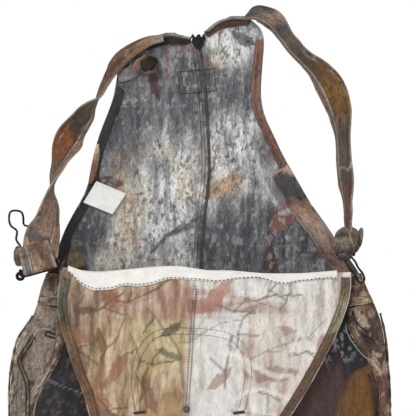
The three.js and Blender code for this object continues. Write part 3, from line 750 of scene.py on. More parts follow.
def paint_bib(x, z):
    """The bib's inside: cream and straw leaves on the left, washed-out pale bark on the right."""
    grain = bark(x, z, 70)
    pale = mix(rgb(172, 154, 142), rgb(224, 222, 218), smoothstep(grain, -0.9, 0.35))
    left = smoothstep(-x, 0.005, 0.03)
    tawny = mix(rgb(138, 104, 80), rgb(206, 186, 160), smoothstep(grain, -0.7, 0.8))
    colour = mix(pale, tawny, left)
    straw = blob(x, z, (-0.062, -0.39), 0.05, 0.068, 71, 0.35, 0.4) * left
    colour = mix(colour, mix(rgb(164, 142, 104), rgb(208, 194, 158), smoothstep(grain, -0.7, 0.9)), straw)
    chalk = blob(x, z, (0.02, -0.44), 0.05, 0.09, 72, 0.7) * (1 - left)
    colour = mix(colour, rgb(222, 220, 216), chalk * 0.8)
    blush = blob(x, z, (0.09, -0.42), 0.05, 0.09, 73, 0.7)
    colour = mix(colour, mix(BLUSH, CREAM, smoothstep(grain, -0.6, 0.4)), blush * 0.55)
    rosy = blob(x, z, (-0.02, -0.348), 0.13, 0.02, 74, 0.6)
    rose = mix(rgb(146, 104, 88), rgb(200, 180, 166), smoothstep(grain, -0.5, 1.0))
    colour = mix(colour, rose, rosy * 0.85)
    rim = blob(x, z, (-0.165, -0.36), 0.03, 0.09, 75, 0.5)
    colour = mix(colour, mix(UMBER, SAND, smoothstep(grain, -0.2, 0.9)), rim * 0.7)
    colour = with_leaves(colour, x, z, grain, BIB_LEAVES, 0.15, 0.4, 0.8)
    colour = with_limbs(colour, x, z, BIB_LIMBS, 0.5)
    dust = layered(x, z, (9 * MM, 14 * MM), 3, 119)
    colour = mix(colour, colour * 0.72, smoothstep(dust, 0.15, 0.6) * (0.28 + 0.4 * left))
    sway = 1.2 * MM * layered(x, z, 9 * MM, 2, 820)
    for points, width, tone, _ in BIB_VEINS:
        best = away(x + sway, z - sway, points)
        share = smoothstep(max(width * 0.6, 0.85 * MM) - best, -1.2 * MM, 0.7 * MM)
        colour = mix(colour, tone, share * (0.85 if width < 2.5 * MM else 0.6))
    return np.clip(colour, 0, 1)


def paint_outside(seed, base=(CHESTNUT, BUFF), patches=(UMBER, FOX, OLIVE, DUST, CHARCOAL)):
    """A painter for the full-strength outer print; seed picks the piece's own stretch of it."""

    def painter(x, z):
        grain = bark(x, z, seed)
        colour = mix(base[0], base[1], smoothstep(grain, -0.35, 0.85) * 0.8)
        for number, tone in enumerate(patches):
            field = layered(x, z, (0.026, 0.036), 4, seed + 17 * number)
            colour = mix(colour, tone * (1 + 0.35 * grain[..., None]), smoothstep(field, 0.26, 0.36) * 0.85)
        twigs = np.abs(layered(x, z, (0.02, 0.04), 3, seed + 5))
        colour = mix(colour, CREAM, (1 - smoothstep(twigs, 0.0, 0.05)) * 0.5)
        shadows = np.abs(layered(x, z, (0.024, 0.03), 3, seed + 6))
        colour = mix(colour, INK, (1 - smoothstep(shadows, 0.0, 0.05)) * 0.6)
        return mix(np.clip(colour, 0, 1), INK, speckle(x, z, 3 * MM, 0.3, seed + 8) * 0.5)

    return painter


def paint_dark_left(x, z):
    grain = bark(x, z, 130)
    colour = mix(INK, CHARCOAL, smoothstep(grain, -0.4, 0.8))
    pale = speckle(x, z, 5 * MM, 0.36, 131) * 0.3
    colour = mix(colour, rgb(110, 100, 96), pale)
    return mix(colour, ASH, limb(x, z, [(-0.23, -0.432), (-0.18, -0.455), (-0.13, -0.47)], 0.002, 132) * 0.6)


def paint_dark_right(x, z):
    grain = bark(x, z, 140)
    colour = mix(INK, CHARCOAL, smoothstep(grain, -0.3, 0.9))
    wine = blob(x, z, (0.155, -0.465), 0.055, 0.05, 141, 0.3)
    colour = mix(colour, mix(PLUM * 0.8, UMBER, smoothstep(grain, 0, 0.8)), wine)
    amber = leaf(x, z, (0.205, -0.47), 0.12, 0.05, 62, 142)
    colour = mix(colour, mix(rgb(116, 78, 38), rgb(84, 68, 44), smoothstep(grain, -0.3, 0.9)), amber * 0.9)
    flecks = speckle(x, z, 5 * MM, 0.36, 143) * blob(x, z, (0.16, -0.395), 0.04, 0.03, 144)
    return mix(colour, ASH, flecks)


def paint_plain(colour, strength=0.06, seed=0):
    """A painter of one tone, a little uneven."""

    def painter(x, z):
        shade = 1 + strength * layered(x, z, 12 * MM, 4, seed)
        return np.asarray(colour)[None, :] * shade.reshape(-1, 1) * np.ones((np.size(x), 1))

    return painter


def paint_banded(bands, seed):
    """A painter for a strip whose tone changes along it; bands are (height, red, green, blue)."""
    heights = np.array([band[0] for band in bands])
    tones = np.array([rgb(*band[1:]) for band in bands])

    def painter(x, z):
        grain = bark(x, z, seed)
        level = z + 5 * MM * layered(x, z, 10 * MM, 2, seed + 1)
        colour = np.stack([np.interp(level, heights, tones[:, k]) for k in range(3)], -1)
        colour = colour * (1 + 0.35 * grain[..., None])
        return mix(np.clip(colour, 0, 1), INK, speckle(x, z, 3 * MM, 0.26, seed + 2) * 0.45)

    return painter


def paint_strap(bands, seed):
    """Banded tones with patches of the outer print over them."""
    banded, printed = paint_banded(bands, seed), paint_outside(seed + 50)

    def painter(x, z):
        share = smoothstep(layered(x, z, (16 * MM, 26 * MM), 3, seed + 90), 0.0, 0.3)
        return mix(banded(x, z), printed(x, z), 0.7 * share)

    return painter


# ------------------------------------------------------------------------------------------------
# Creases
# ------------------------------------------------------------------------------------------------


def fold_line(x, z, start, end, width, height):
    """A raised fold along a line that fades out at both ends."""
    dx, dz = end[0] - start[0], end[1] - start[1]
    share = ((x - start[0]) * dx + (z - start[1]) * dz) / (dx * dx + dz * dz)
    near = np.clip(share, 0, 1)
    far = np.hypot(x - start[0] - near * dx, z - start[1] - near * dz)
    along = np.sin(math.pi * np.clip(share, 0.02, 0.98))
    return height * np.exp(-((far / width) ** 2)) * along


def creased(x, z, waves, folds=()):
    """Waves of the cloth (height, size and seed) with single folds (start, end, width and height)."""
    total = 0.0
    for height, size, seed in waves:
        total = total + height * layered(x, z, size, 3, seed)
    for start, end, width, height in folds:
        total = total + fold_line(x, z, start, end, width, height)
    return total


def back_creases(x, z):
    return creased(x, z, (
        (1.6 * MM, (70 * MM, 110 * MM), 201),
        (0.45 * MM, (14 * MM, 22 * MM), 202),
    ), (
        ((-0.02, -0.01), (-0.012, -0.12), 0.008, 2.5 * MM),
        ((-0.09, -0.04), (-0.05, -0.09), 0.008, 2.0 * MM),
        ((-0.15, -0.2), (-0.1, -0.29), 0.012, 3.0 * MM),
        ((0.05, -0.03), (0.078, -0.1), 0.008, -2.5 * MM),
        ((0.05, -0.2), (0.15, -0.25), 0.01, 3.0 * MM),
        ((0.1, -0.17), (0.13, -0.28), 0.012, -3.0 * MM),
        ((-0.18, -0.255), (-0.06, -0.285), 0.008, 2.2 * MM),
    ))


def bib_creases(x, z):
    return creased(x, z, (
        (1.5 * MM, (60 * MM, 90 * MM), 211),
        (0.4 * MM, (12 * MM, 18 * MM), 212),
    ), (
        ((-0.145, -0.318), (-0.128, -0.36), 0.006, 4.5 * MM),
        ((-0.15, -0.36), (-0.03, -0.48), 0.007, 3.0 * MM),
        ((0.02, -0.415), (0.12, -0.425), 0.008, 2.5 * MM),
        ((-0.02, -0.35), (0.14, -0.335), 0.009, 2.2 * MM),
        ((-0.13, -0.34), (-0.02, -0.335), 0.008, -2.5 * MM),
        ((0.09, -0.34), (0.07, -0.5), 0.01, 2.0 * MM),
        ((-0.08, -0.42), (-0.05, -0.53), 0.008, 2.0 * MM),
    ))


def hip_creases(x, z):
    return creased(x, z, (
        (1.8 * MM, (26 * MM, 60 * MM), 221),
        (0.5 * MM, (10 * MM, 16 * MM), 222),
    ))


def ease(x, z):
    """How freely the cloth can crease: less where the front and back meet at the side seams."""
    return 0.2 + 0.8 * smoothstep(bulge(x, z), 4 * MM, 15 * MM)


def back_face(x, z):
    return bulge(x, z) - back_creases(x, z) * ease(x, z)


def bib_face(x, z):
    return BIB_PLANE + BIB_CURVE * (x / BIB_HALF) ** 2 - bib_creases(x, z)


def front_face(x, z):
    return -bulge(x, z) - hip_creases(x, z) * ease(x, z)


# ------------------------------------------------------------------------------------------------
# Sewing
# ------------------------------------------------------------------------------------------------

HEM = 1.5 * MM
LONG_STITCH = (3.4 * MM, 0.86)  # pitch, and the share of it that the thread takes
ARCH = np.array([-0.7, 0.4, 0.8, 0.4, -0.7])  # how far each part of a stitch stands out, in radii
TAPER = np.array([0.6, 1.0, 1.0, 1.0, 0.6])


def even(points, spacing):
    """A polyline resampled at even spacing."""
    points = np.asarray(points, float)
    length = lengths(points)
    at = np.linspace(0, length[-1], max(int(length[-1] / spacing), 2) + 1)
    return np.stack([np.interp(at, length, points[:, k]) for k in range(points.shape[1])], 1)


def gathered(parts):
    """Several (points, faces) put into one."""
    points, faces, offset = [], [], 0
    for part_points, part_faces in parts:
        points.append(part_points)
        faces += [tuple(corner + offset for corner in face) for face in part_faces]
        offset += len(part_points)
    return np.concatenate(points), faces


def sew(name, rows, thread, body, pitch=3.0 * MM, share=0.68, radius=0.38 * MM):
    """Rows of stitches; a row holds points on the cloth and the way out of it (six numbers each)."""
    parts = []
    for row in rows:
        length = lengths(row[:, :3])
        for start in np.arange(0.3 * pitch, length[-1] - pitch * share, pitch):
            at = start + np.linspace(0, pitch * share, len(ARCH))
            place = np.stack([np.interp(at, length, row[:, k]) for k in range(6)], 1)
            spine = place[:, :3] + place[:, 3:] * (radius * ARCH)[:, None]
            parts.append(tube(spine, radius * TAPER, 6))
    points, faces = gathered(parts)
    return link(name, points, faces, thread, body)


def on_face(path, face, lift=CLOTH / 2, side=-1):
    """A line of (x, z) points laid on a surface, with the way out of it."""
    path = even(path, GRID)
    y = face(path[:, 0], path[:, 1]) + side * lift
    out = np.tile([0.0, side, 0.0], (len(path), 1))
    return np.concatenate([np.stack([path[:, 0], y, path[:, 1]], 1), out], 1)


def along_grid(middle, share, half, side=1):
    """A line up a grid of cloth at a share of its width, on its face, with the way out of it."""
    normal = grid_normals(middle) * side
    column = int(round(share * (middle.shape[1] - 1)))
    return np.concatenate([middle[:, column] + normal[:, column] * half, normal[:, column]], 1)


def facing_front(points, lift):
    """A line lifted off cloth that faces the front, with the way out of it."""
    return np.concatenate([points - [0, lift, 0], np.tile([0.0, -1.0, 0.0], (len(points), 1))], 1)


def beside(path, distance):
    """A line moved to its left by a distance."""
    path = even(path, 2 * GRID)
    ahead = np.gradient(path, axis=0)
    ahead /= np.maximum(np.linalg.norm(ahead, axis=1, keepdims=True), 1e-9)
    side_x, side_z = softened(-ahead[:, 1], 4), softened(ahead[:, 0], 4)
    return path + np.stack([side_x, side_z], 1) * distance


def zigzag(name, path, face, width, pitch, radius, lift, thread, body, replaces=()):
    """Overlocking: a thread that runs from side to side along a seam."""
    path = even(path, pitch / 2)
    ahead = np.gradient(path, axis=0)
    ahead /= np.linalg.norm(ahead, axis=1, keepdims=True)
    swing = np.where(np.arange(len(path)) % 2, 1, -1) * width / 2
    swing = swing * (1 + 0.2 * noise(path[:, 0], path[:, 1], 4 * MM, 77))
    x = path[:, 0] - ahead[:, 1] * swing
    z = path[:, 1] + ahead[:, 0] * swing
    points, faces = tube(np.stack([x, face(x, z) - lift, z], 1), radius, 6)
    return link(name, points, faces, thread, body, replaces)


def satin(name, spine, face, width, thread, body, lift, replaces=()):
    """A bar of close threads laid across a line, as on a bar tack or round a buttonhole."""
    spine = even(spine, 0.75 * MM)
    ahead = np.gradient(spine, axis=0)
    ahead /= np.linalg.norm(ahead, axis=1, keepdims=True)
    parts = []
    for place, way in zip(spine, ahead):
        reach = np.linspace(-width / 2, width / 2, 5)
        x, z = place[0] - way[1] * reach, place[1] + way[0] * reach
        y = face(x, z) - lift - 0.5 * MM * (1 - (reach / (width / 2)) ** 2)
        parts.append(tube(np.stack([x, y, z], 1), 0.42 * MM, 5))
    points, faces = gathered(parts)
    return link(name, points, faces, thread, body, replaces)


def node_strip(node, face, lift, upright=True, rise=0.0, seed=0):
    """The middle surface of a strip laid out between the edges of a CAD strip."""
    along, across = (2, 0) if upright else (0, 2)
    levels, low, high = slices(node, along, across)
    low, high = softened(low), softened(high)
    rows = max(int((levels[-1] - levels[0]) / GRID), 4)
    at = np.linspace(levels[0], levels[-1], rows)
    low, high = np.interp(at, levels, low), np.interp(at, levels, high)
    width = float(np.median(high - low))
    u = np.linspace(0, 1, max(int(width / (1.3 * MM)), 7))[None, :]
    if not upright:
        u = 1 - u
    place = low[:, None] + (high - low)[:, None] * u
    level = at[:, None] + 0 * u
    x, z = (place, level) if upright else (level, place)
    puff = rise * noise(x, z, 9 * MM, seed) * np.sin(math.pi * u)
    middle = np.stack([x, face(x, z) - lift - puff, z], -1)
    return middle, np.stack([u * width + 0 * level, level], -1)


def hem(name, node, face, lift, painter, body="garment", upright=True, seed=0, own=True, cloth=None):
    """A sewn strip that stands for a CAD strip; own paints it in its own run of the print."""
    middle, flat = node_strip(node, face, lift, upright, 0.7 * MM, seed)
    if not own:
        flat = middle[..., [0, 2]]
    slab(name, middle, HEM, flat, painter, cloth or outside_cloth, body, (node,), crown=0.7)
    return middle


def panel(name, node, face, painter, behind, slot, cloth, body="garment", **edges):
    """A panel of the garment that stands for a CAD panel: its outline is the CAD panel's."""
    outline = Outline(node)
    middle, flat = panel_grid(outline, face, **edges)
    piece = slab(name, middle, CLOTH, flat, painter, cloth, body, (node,), behind=behind)
    sheets.append((piece, flat))
    return outline


def covered(edge, strip_edge, strip, sign, reach=1.5 * MM):
    """An edge that runs on under the strip that covers it; sign gives which way is out."""

    def moved(z):
        own = edge(z)
        out = np.where((z >= strip.bottom) & (z <= strip.top), strip_edge(z) - sign * reach, own)
        return np.maximum(own, out) if sign > 0 else np.minimum(own, out)

    return moved


def joined(own, other, reach, overlap=0.0):
    """An edge that meets its neighbour half-way, where the two are near each other."""

    def edge(z):
        near = np.abs(own(z) - other(z)) < reach
        return np.where(near, (own(z) + other(z)) / 2 + overlap, own(z))

    return edge


def oval_tube(x, y, z, half_x, half_y, sides=14):
    """A soft roll whose sections are level ovals."""
    angle = np.linspace(0, 2 * math.pi, sides, endpoint=False)[None, :]
    half_x = np.broadcast_to(half_x, np.shape(z))
    half_y = np.broadcast_to(half_y, np.shape(z))
    ring_x = x[:, None] + half_x[:, None] * np.cos(angle)
    ring_y = y[:, None] + half_y[:, None] * np.sin(angle)
    ring_z = z[:, None] + 0 * angle
    points = np.stack([ring_x, ring_y, ring_z], -1).reshape(-1, 3)
    return points, ring_faces(len(z), sides)


def painted(piece, painter, across, along):
    give_colours(piece, painter(across, along))
    give_map(piece, across, along)
    return piece


# ------------------------------------------------------------------------------------------------
# The back
# ------------------------------------------------------------------------------------------------

sheets = []  # the pieces that are sheets of cloth, each with its flat places


def build_back():
    left, right = Outline("back_panel_left"), Outline("back_panel_right")
    hem_left, hem_right = Outline("armhole_hem_left"), Outline("armhole_hem_right")
    behind = paint_outside(301)
    panel(
        "back_cloth_left", "back_panel_left", lambda x, z: back_face(x, z) + 0.5 * MM,
        paint_back, behind, "inside_cloth", inside_cloth,
        left=covered(left.left, hem_left.left, hem_left, -1),
        right=joined(left.right, right.left, 9 * MM, 1.5 * MM),
    )
    panel(
        "back_cloth_right", "back_panel_right", back_face,
        paint_back, behind, "inside_cloth", inside_cloth,
        left=joined(right.left, left.right, 9 * MM),
        right=covered(right.right, hem_right.right, hem_right, 1),
    )

    top = min(left.top, right.top) - 9 * MM
    z = np.linspace(left.bottom + 4 * MM, top, 200)
    seam = np.stack([(left.right(z) + right.left(z)) / 2, z], 1)
    strip, flat = strip_grid(seam, -1.7 * MM, 1.7 * MM, back_face, 1.2 * MM, 5, 0.3 * MM, 5)[:2]
    slab(
        "centre_seam_allowance", strip, 1.2 * MM, flat, paint_plain(rgb(92, 90, 92), 0.4, 4),
        dark_cloth, "garment", ("centre_back_seam",), crown=0.6,
    )
    zigzag(
        "centre_seam_overlock", seam, back_face, 5.0 * MM, 3.8 * MM, 0.5 * MM, 2.2 * MM,
        black_thread, "garment",
    )
    rows = [on_face(beside(seam, distance), back_face) for distance in (5.5 * MM, 9.5 * MM)]
    sew("centre_seam_stitches", rows, black_thread, "garment", 3.4 * MM, 0.7, 0.42 * MM)


def armhole_strip(name, node, lift, bands, tone_seed, seed):
    """A hem or facing along an armhole, painted in bands down its length."""
    return hem(name, node, back_face, lift, paint_banded(bands, tone_seed), seed=seed)


def build_armhole_left():
    middle = armhole_strip("armhole_edge_left", "armhole_hem_left", 1.7 * MM, [
        (-0.31, 64, 58, 58), (-0.2, 40, 38, 41), (-0.06, 58, 56, 60)], 310, 1)
    sew("armhole_stitches_left", [along_grid(middle, 0.82, HEM / 2)], black_thread, "garment")
    armhole_strip("armhole_facing_left", "armhole_fold_left", 3.4 * MM, [
        (-0.305, 52, 46, 42), (-0.262, 48, 44, 44), (-0.24, 40, 38, 40), (-0.2, 70, 64, 62),
    ], 311, 2)


TURN_LOW, TURN_HIGH = -192 * MM, -140 * MM  # ends of the stretch where the left hem is turned over
CORNER_LOW, CORNER_BEND, CORNER_HIGH = -306 * MM, -285 * MM, -268 * MM  # the facing's loose corner


def build_armhole_turn():
    """Where the left hem is turned over, its print shows."""
    z = np.linspace(TURN_LOW, TURN_HIGH, 40)[:, None]
    u = np.linspace(0, 1, 9)[None, :]
    taper = np.sin(math.pi * np.clip((z - TURN_LOW) / (TURN_HIGH - TURN_LOW), 0.04, 0.96)) ** 0.5
    x = Outline("armhole_hem_left").left(z) - 0.5 * MM + 8.5 * MM * taper * u
    middle = np.stack([x, back_face(x, z) - 3.6 * MM - 1.2 * MM * np.sin(math.pi * u), z + 0 * u], -1)
    tone = paint_banded([(-0.2, 120, 84, 70), (-0.165, 150, 112, 92), (-0.14, 196, 178, 152)], 314)
    slab(
        "armhole_turn_left", middle, HEM, middle[..., [0, 2]], tone, outside_cloth, "garment",
        crown=0.6,
    )


def build_facing_corner():
    """The loose corner of the left facing, just above the waist."""
    z = np.linspace(CORNER_LOW, CORNER_HIGH, 30)[:, None]
    corner = np.array([(-152, -306), (-154, -296), (-160, -280), (-168, -268)]) * MM
    far = np.interp(z, corner[:, 1], corner[:, 0])
    near = np.interp(z, [CORNER_LOW, CORNER_BEND, CORNER_HIGH], [-178 * MM, -176 * MM, -169 * MM])
    x = near + (far - near) * np.linspace(0, 1, 17)[None, :]
    z = z + 0 * x
    y = back_face(x, z) - 6 * MM - 2 * MM * noise(x, z, 12 * MM, 315)
    # The darkest band, at the corner's lower end, is a painted shadow.
    tone = paint_banded([
        (-0.306, 44, 38, 34), (-0.3, 128, 106, 76), (-0.285, 120, 104, 82), (-0.275, 86, 76, 64),
        (-0.268, 116, 108, 94)], 316)
    slab(
        "facing_corner_left", np.stack([x, y, z], -1), HEM, np.stack([x, z], -1), tone, outside_cloth,
        "garment",
    )


def build_armhole_right():
    middle = armhole_strip("armhole_edge_right", "armhole_hem_right", 1.7 * MM, [
        (-0.3, 120, 90, 70), (-0.12, 118, 86, 74), (-0.06, 134, 98, 84), (0.01, 120, 84, 72),
    ], 312, 3)
    sew("armhole_stitches_right", [along_grid(middle, 0.36, HEM / 2)], black_thread, "garment", *LONG_STITCH)
    middle = armhole_strip("armhole_facing_right", "armhole_fold_right", 3.4 * MM, [
        (-0.31, 140, 112, 98), (-0.285, 120, 98, 88), (-0.26, 152, 132, 120), (-0.235, 160, 134, 120),
        (-0.222, 142, 112, 94), (-0.212, 70, 66, 64), (-0.18, 78, 76, 74), (-0.172, 184, 158, 142),
        (-0.166, 178, 152, 136), (-0.16, 60, 57, 55), (-0.14, 96, 94, 91), (-0.125, 110, 107, 100),
    ], 313, 4)
    sew("facing_stitches_right", [along_grid(middle, 0.12, HEM / 2)], brown_thread, "garment")


def paint_rim(across, along):
    """The neck's hem: rubbed pale along its upper edge and dark below."""
    grain = bark(across, along, 320)
    pale = mix(rgb(120, 108, 98), rgb(176, 170, 162), smoothstep(grain, -0.5, 0.6))
    dark = mix(rgb(44, 42, 44), rgb(84, 80, 80), smoothstep(grain, -0.4, 0.9))
    edge = across + 1.2 * MM * layered(along, along * 0, 20 * MM, 2, 321)
    return mix(dark, pale, smoothstep(edge, 4.0 * MM, 6.0 * MM))


def build_neck():
    for side in ("left", "right"):
        middle = hem(
            f"neck_edge_{side}", f"top_hem_{side}", back_face, 1.5 * MM, paint_rim,
            upright=False, seed=5, cloth=inside_cloth,
        )
        sew(f"neck_stitches_{side}", [along_grid(middle, 0.8, HEM / 2)], brown_thread, "garment")
        low = middle[:, 0] if middle[:, 0, 2].mean() < middle[:, -1, 2].mean() else middle[:, -1]
        low = low[np.argsort(low[:, 0])]
        drop = np.linspace(1, 0, 11)[:, None]
        arch = np.sin(math.pi * np.linspace(0.06, 0.94, len(low))) ** 0.6
        reach = (10 if side == "left" else 7) * MM * arch
        x = low[None, :, 0] + 0 * drop
        z = low[None, :, 2] + 2 * MM - reach[None] * drop * (1 + 0.15 * noise(x, 0 * x, 25 * MM, 322))
        y = back_face(x, z) - 2.0 * MM - 0.7 * MM * np.abs(noise(x, z, (9 * MM, 4 * MM), 323))
        band = np.stack([x, y, z], -1)
        tone = paint_plain(rgb(36, 34, 36) if side == "left" else rgb(74, 50, 40), 0.5, 324)
        slab(f"neck_facing_{side}", band, HEM, band[..., [0, 2]], tone, dark_cloth, "garment")


def build_gather():
    """The neck's middle, drawn together into small ridges."""
    low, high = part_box("neck_gather_tack")
    centre, size = (low + high) / 2, high - low
    v = np.linspace(0, 1, 28)[:, None]
    u = np.linspace(-1, 1, 61)[None, :]
    spread = size.x / 2 * (1.3 + 0.75 * np.abs(v - 0.35))
    x = centre.x + u * spread + 1.0 * MM * np.sin(7 * v + 4 * u)
    z = low.z + v * size.z * (1.06 + 0.16 * np.cos(9 * u)) - 4 * MM * np.cos(3 * u) * (1 - v)
    ridges = np.abs(np.sin(3.5 * math.pi * u + 0.9 * np.sin(4 * v)))
    y = back_face(x, z) - 2.2 * MM - 3.2 * MM * ridges * (0.45 + 0.55 * v)
    middle = np.stack([x, y, z], -1)
    slab(
        "neck_gather", middle, 1.3 * MM, middle[..., [0, 2]], paint_plain(rgb(38, 35, 38), 0.45, 6),
        dark_cloth, "garment", ("neck_gather_tack",),
    )


PATCH_WIDTH, PATCH_HEIGHT, PATCH_TILT = 53 * MM, 34 * MM, math.radians(5)


def build_patch():
    low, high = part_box("back_patch")
    centre = (low + high) / 2
    cosine, sine = math.cos(PATCH_TILT), math.sin(PATCH_TILT)
    turn = np.array([[cosine, -sine], [sine, cosine]])

    def border(inset):
        wide, tall = PATCH_WIDTH / 2 - inset, PATCH_HEIGHT / 2 - inset
        corners = np.array([(-wide, -tall), (wide, -tall), (wide, tall), (-wide, tall), (-wide, -tall)])
        return corners @ turn.T + [centre.x, centre.z]

    u = np.linspace(-1, 1, 40)[None, :, None]
    v = np.linspace(-1, 1, 26)[:, None, None]
    flat = np.concatenate([u * PATCH_WIDTH / 2 + 0 * v, v * PATCH_HEIGHT / 2 + 0 * u], -1)
    place = flat @ turn.T + [centre.x, centre.z]
    x, z = place[..., 0], place[..., 1]
    edge = np.maximum(np.abs(u[..., 0]), np.abs(v[..., 0]))
    sunk = 0.5 * MM * np.exp(-(((edge - 0.86) / 0.04) ** 2))
    middle = np.stack([x, back_face(x, z) + CLOTH + 0.8 * MM - sunk, z], -1)
    slab(
        "back_badge", middle, 1.6 * MM, flat, paint_plain((0.1, 0.05, 0.03), 0.3, 7), patch_leather,
        "garment", ("back_patch",), crown=0.5,
    )
    inner = on_face(border(2.4 * MM), back_face, CLOTH / 2 + 0.2 * MM)
    sew("badge_stitches_inside", [inner], black_thread, "garment", 2.9 * MM, 0.86, 0.5 * MM)
    outer = on_face(border(2.4 * MM), back_face, CLOTH + 1.4 * MM, 1)
    sew("badge_stitches_outside", [outer], pale_thread, "garment", 2.9 * MM)
    middle_x, middle_z = centre.x + 17 * MM, centre.z + 7 * MM
    corners = ((0, -4), (3.2, 0), (0, 4), (-3.2, 0), (0, -4))
    diamond = [(middle_x + x * MM, middle_z + z * MM) for x, z in corners]
    sew("badge_emblem_inside", [on_face(diamond, back_face)], black_thread, "garment", 2.0 * MM, 0.8)


def build_label():
    upper_left, upper_right = np.array([-139.5, -188.5]) * MM, np.array([-100.5, -205]) * MM
    lower_left, lower_right = np.array([-156.5, -216.5]) * MM, np.array([-118.5, -232]) * MM
    u = np.linspace(0, 1, 30)[None, :, None]
    v = np.linspace(0, 1, 24)[:, None, None]
    place = (lower_left * (1 - u) + lower_right * u) * (1 - v) + (upper_left * (1 - u) + upper_right * u) * v
    x, z = place[..., 0], place[..., 1]
    curl = 3.2 * MM * (1 - v[..., 0]) ** 2 * (0.4 + u[..., 0] ** 2) + 0.5 * MM * layered(x, z, 12 * MM, 2, 9)
    middle = np.stack([x, back_face(x, z) - 2.4 * MM - curl, z], -1)
    flat = np.concatenate([u * 42 * MM + 0 * v, v * 33 * MM + 0 * u], -1)
    piece = slab(
        "care_tag", middle, 0.6 * MM, flat, paint_plain(rgb(232, 231, 228), 0.05, 8), tape_cloth,
        "label", ("care_label",),
    )
    sheets.append((piece, flat))
    row = np.concatenate([middle[-3], grid_normals(middle)[-3]], 1)
    sew("care_tag_stitches", [row], pale_thread, "label", 2.6 * MM)


# ------------------------------------------------------------------------------------------------
# The front and the hips
# ------------------------------------------------------------------------------------------------


# Base tones and patches of the outer print at each hip.
HIP_TONES = {
    "left": (
        (rgb(94, 74, 60), rgb(168, 144, 122)),
        (rgb(120, 90, 68), rgb(70, 58, 50), rgb(172, 154, 132), DUST),
    ),
    "right": (
        (rgb(96, 72, 60), rgb(166, 140, 120)),
        (rgb(130, 88, 72), rgb(72, 58, 50), rgb(176, 158, 132), UMBER),
    ),
}


def paint_hip_left(x, z):
    outer = paint_outside(601, *HIP_TONES["left"])(x, z)
    lower = smoothstep(-z + 8 * MM * layered(x, z, 20 * MM, 3, 602), 0.35, 0.37)
    return mix(outer, paint_dark_left(x, z), lower)


def paint_hip_right(x, z):
    outer = paint_outside(611, *HIP_TONES["right"])(x, z)
    lower = smoothstep(-z + 8 * MM * layered(x, z, 20 * MM, 3, 612), 0.325, 0.35)
    return mix(outer, paint_dark_right(x, z), lower)


def build_hip(side, sign, painter, seam_seed):
    front = Outline(f"front_panel_{side}")
    outer_name, inner_name = ("left", "right") if sign < 0 else ("right", "left")
    edges = {
        outer_name: lambda z: front.edge(sign)(z) + sign * 7 * MM,
        inner_name: lambda z: front.edge(-sign)(z) - sign * 2.5 * MM,
    }
    panel(
        f"front_cloth_{side}", f"front_panel_{side}", lambda x, z: front_face(x, z) + (1.3 + 0.3 * sign) * MM,
        painter, paint_back, "dark_cloth", dark_cloth, **edges,
    )
    outer_print = paint_outside(seam_seed, *HIP_TONES[side])
    flank = Outline(f"side_panel_{side}")
    inward = {inner_name: lambda z: flank.edge(-sign)(z) - sign * 1 * MM}
    panel(
        f"side_cloth_{side}", f"side_panel_{side}", front_face, outer_print, paint_back,
        "outside_cloth", outside_cloth, **inward,
    )
    band = Outline(f"side_waistband_{side}")
    face = lambda x, z: front_face(x, z) - 1.7 * MM
    middle, flat = panel_grid(band, face)
    slab(
        f"side_band_{side}", middle, 1.8 * MM, flat, paint_outside(seam_seed + 3, *HIP_TONES[side]),
        outside_cloth, "garment", (f"side_waistband_{side}",), crown=0.5,
    )
    rows = []
    height = band.top - band.bottom
    for share in (0.12, 0.3, 0.48, 0.66, 0.86):
        z = band.bottom + height * share
        inset = 2 * MM
        x = np.linspace(float(band.left(z)) + inset, float(band.right(z)) - inset, 12)
        rows.append(on_face(np.stack([x, z + 0 * x], 1), face, 1.0 * MM))
    sew(f"side_band_stitches_{side}", rows, brown_thread, "garment")

    middle = hem(
        f"placket_edge_{side}", f"side_placket_{side}", front_face, 2.2 * MM,
        paint_outside(seam_seed + 6, *HIP_TONES[side]), seed=seam_seed,
    )
    sew(
        f"placket_stitches_{side}", [along_grid(middle, 0.18, HEM / 2), along_grid(middle, 0.82, HEM / 2)],
        brown_thread, "garment",
    )
    z = np.linspace(flank.bottom + 3 * MM, flank.top - 8 * MM, 60)
    far = flank.edge(sign)(z)
    rows = [on_face(np.stack([far - sign * inset, z], 1), front_face) for inset in (8 * MM, 14 * MM)]
    sew(f"side_double_seam_{side}", rows, brown_thread, "garment")

    node = f"side_seam_{side}"
    seam = Outline(node)
    low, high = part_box(node)
    z = np.linspace(seam.bottom, seam.top, 130)
    x = (seam.left(z) + seam.right(z)) / 2
    half_x = np.maximum((seam.right(z) - seam.left(z)) / 2, 1.6 * MM)
    half_x = half_x + 0.4 * MM * noise(z, z * 0, 6 * MM, seam_seed)
    points, faces = oval_tube(x, z * 0 + (low.y + high.y) / 2, z, half_x, (high.y - low.y) / 2)
    piece = link(f"side_seam_roll_{side}", points, faces, outside_cloth, "garment", (node,))
    painted(piece, outer_print, points[:, 0] + points[:, 1], points[:, 2])


def buttonhole(name, start, end):
    """A slit edged with close stitches."""
    start, end = np.array(start), np.array(end)
    way = (end - start) / np.linalg.norm(end - start)
    side = np.array([-way[1], way[0]]) * 2.6 * MM
    face = lambda x, z: front_face(x, z) - 1.2 * MM
    tip, root = end + way * MM, start - way * MM
    loop = [start + side, end + side, tip, end - side, start - side, root, start + side]
    satin(name, loop, face, 1.9 * MM, black_thread, "garment", 0.4 * MM)


def welt(name, corners, radius, thread, apart=0.0):
    """A raised line, or a pair of them, laid on the front of the body: a seam, a pale line along a fold, or a
    painted shadow line.
    """
    path = smooth_path(np.array(corners) * MM, 90)
    for number, distance in enumerate((0.0,) if apart == 0 else (-apart / 2, apart / 2)):
        line = on_face(beside(path, distance), lambda x, z: front_face(x, z) - 2.2 * MM)
        points, faces = tube(line[:, :3], radius, 6)
        link(f"{name}_{number + 1}", points, faces, thread, "garment")
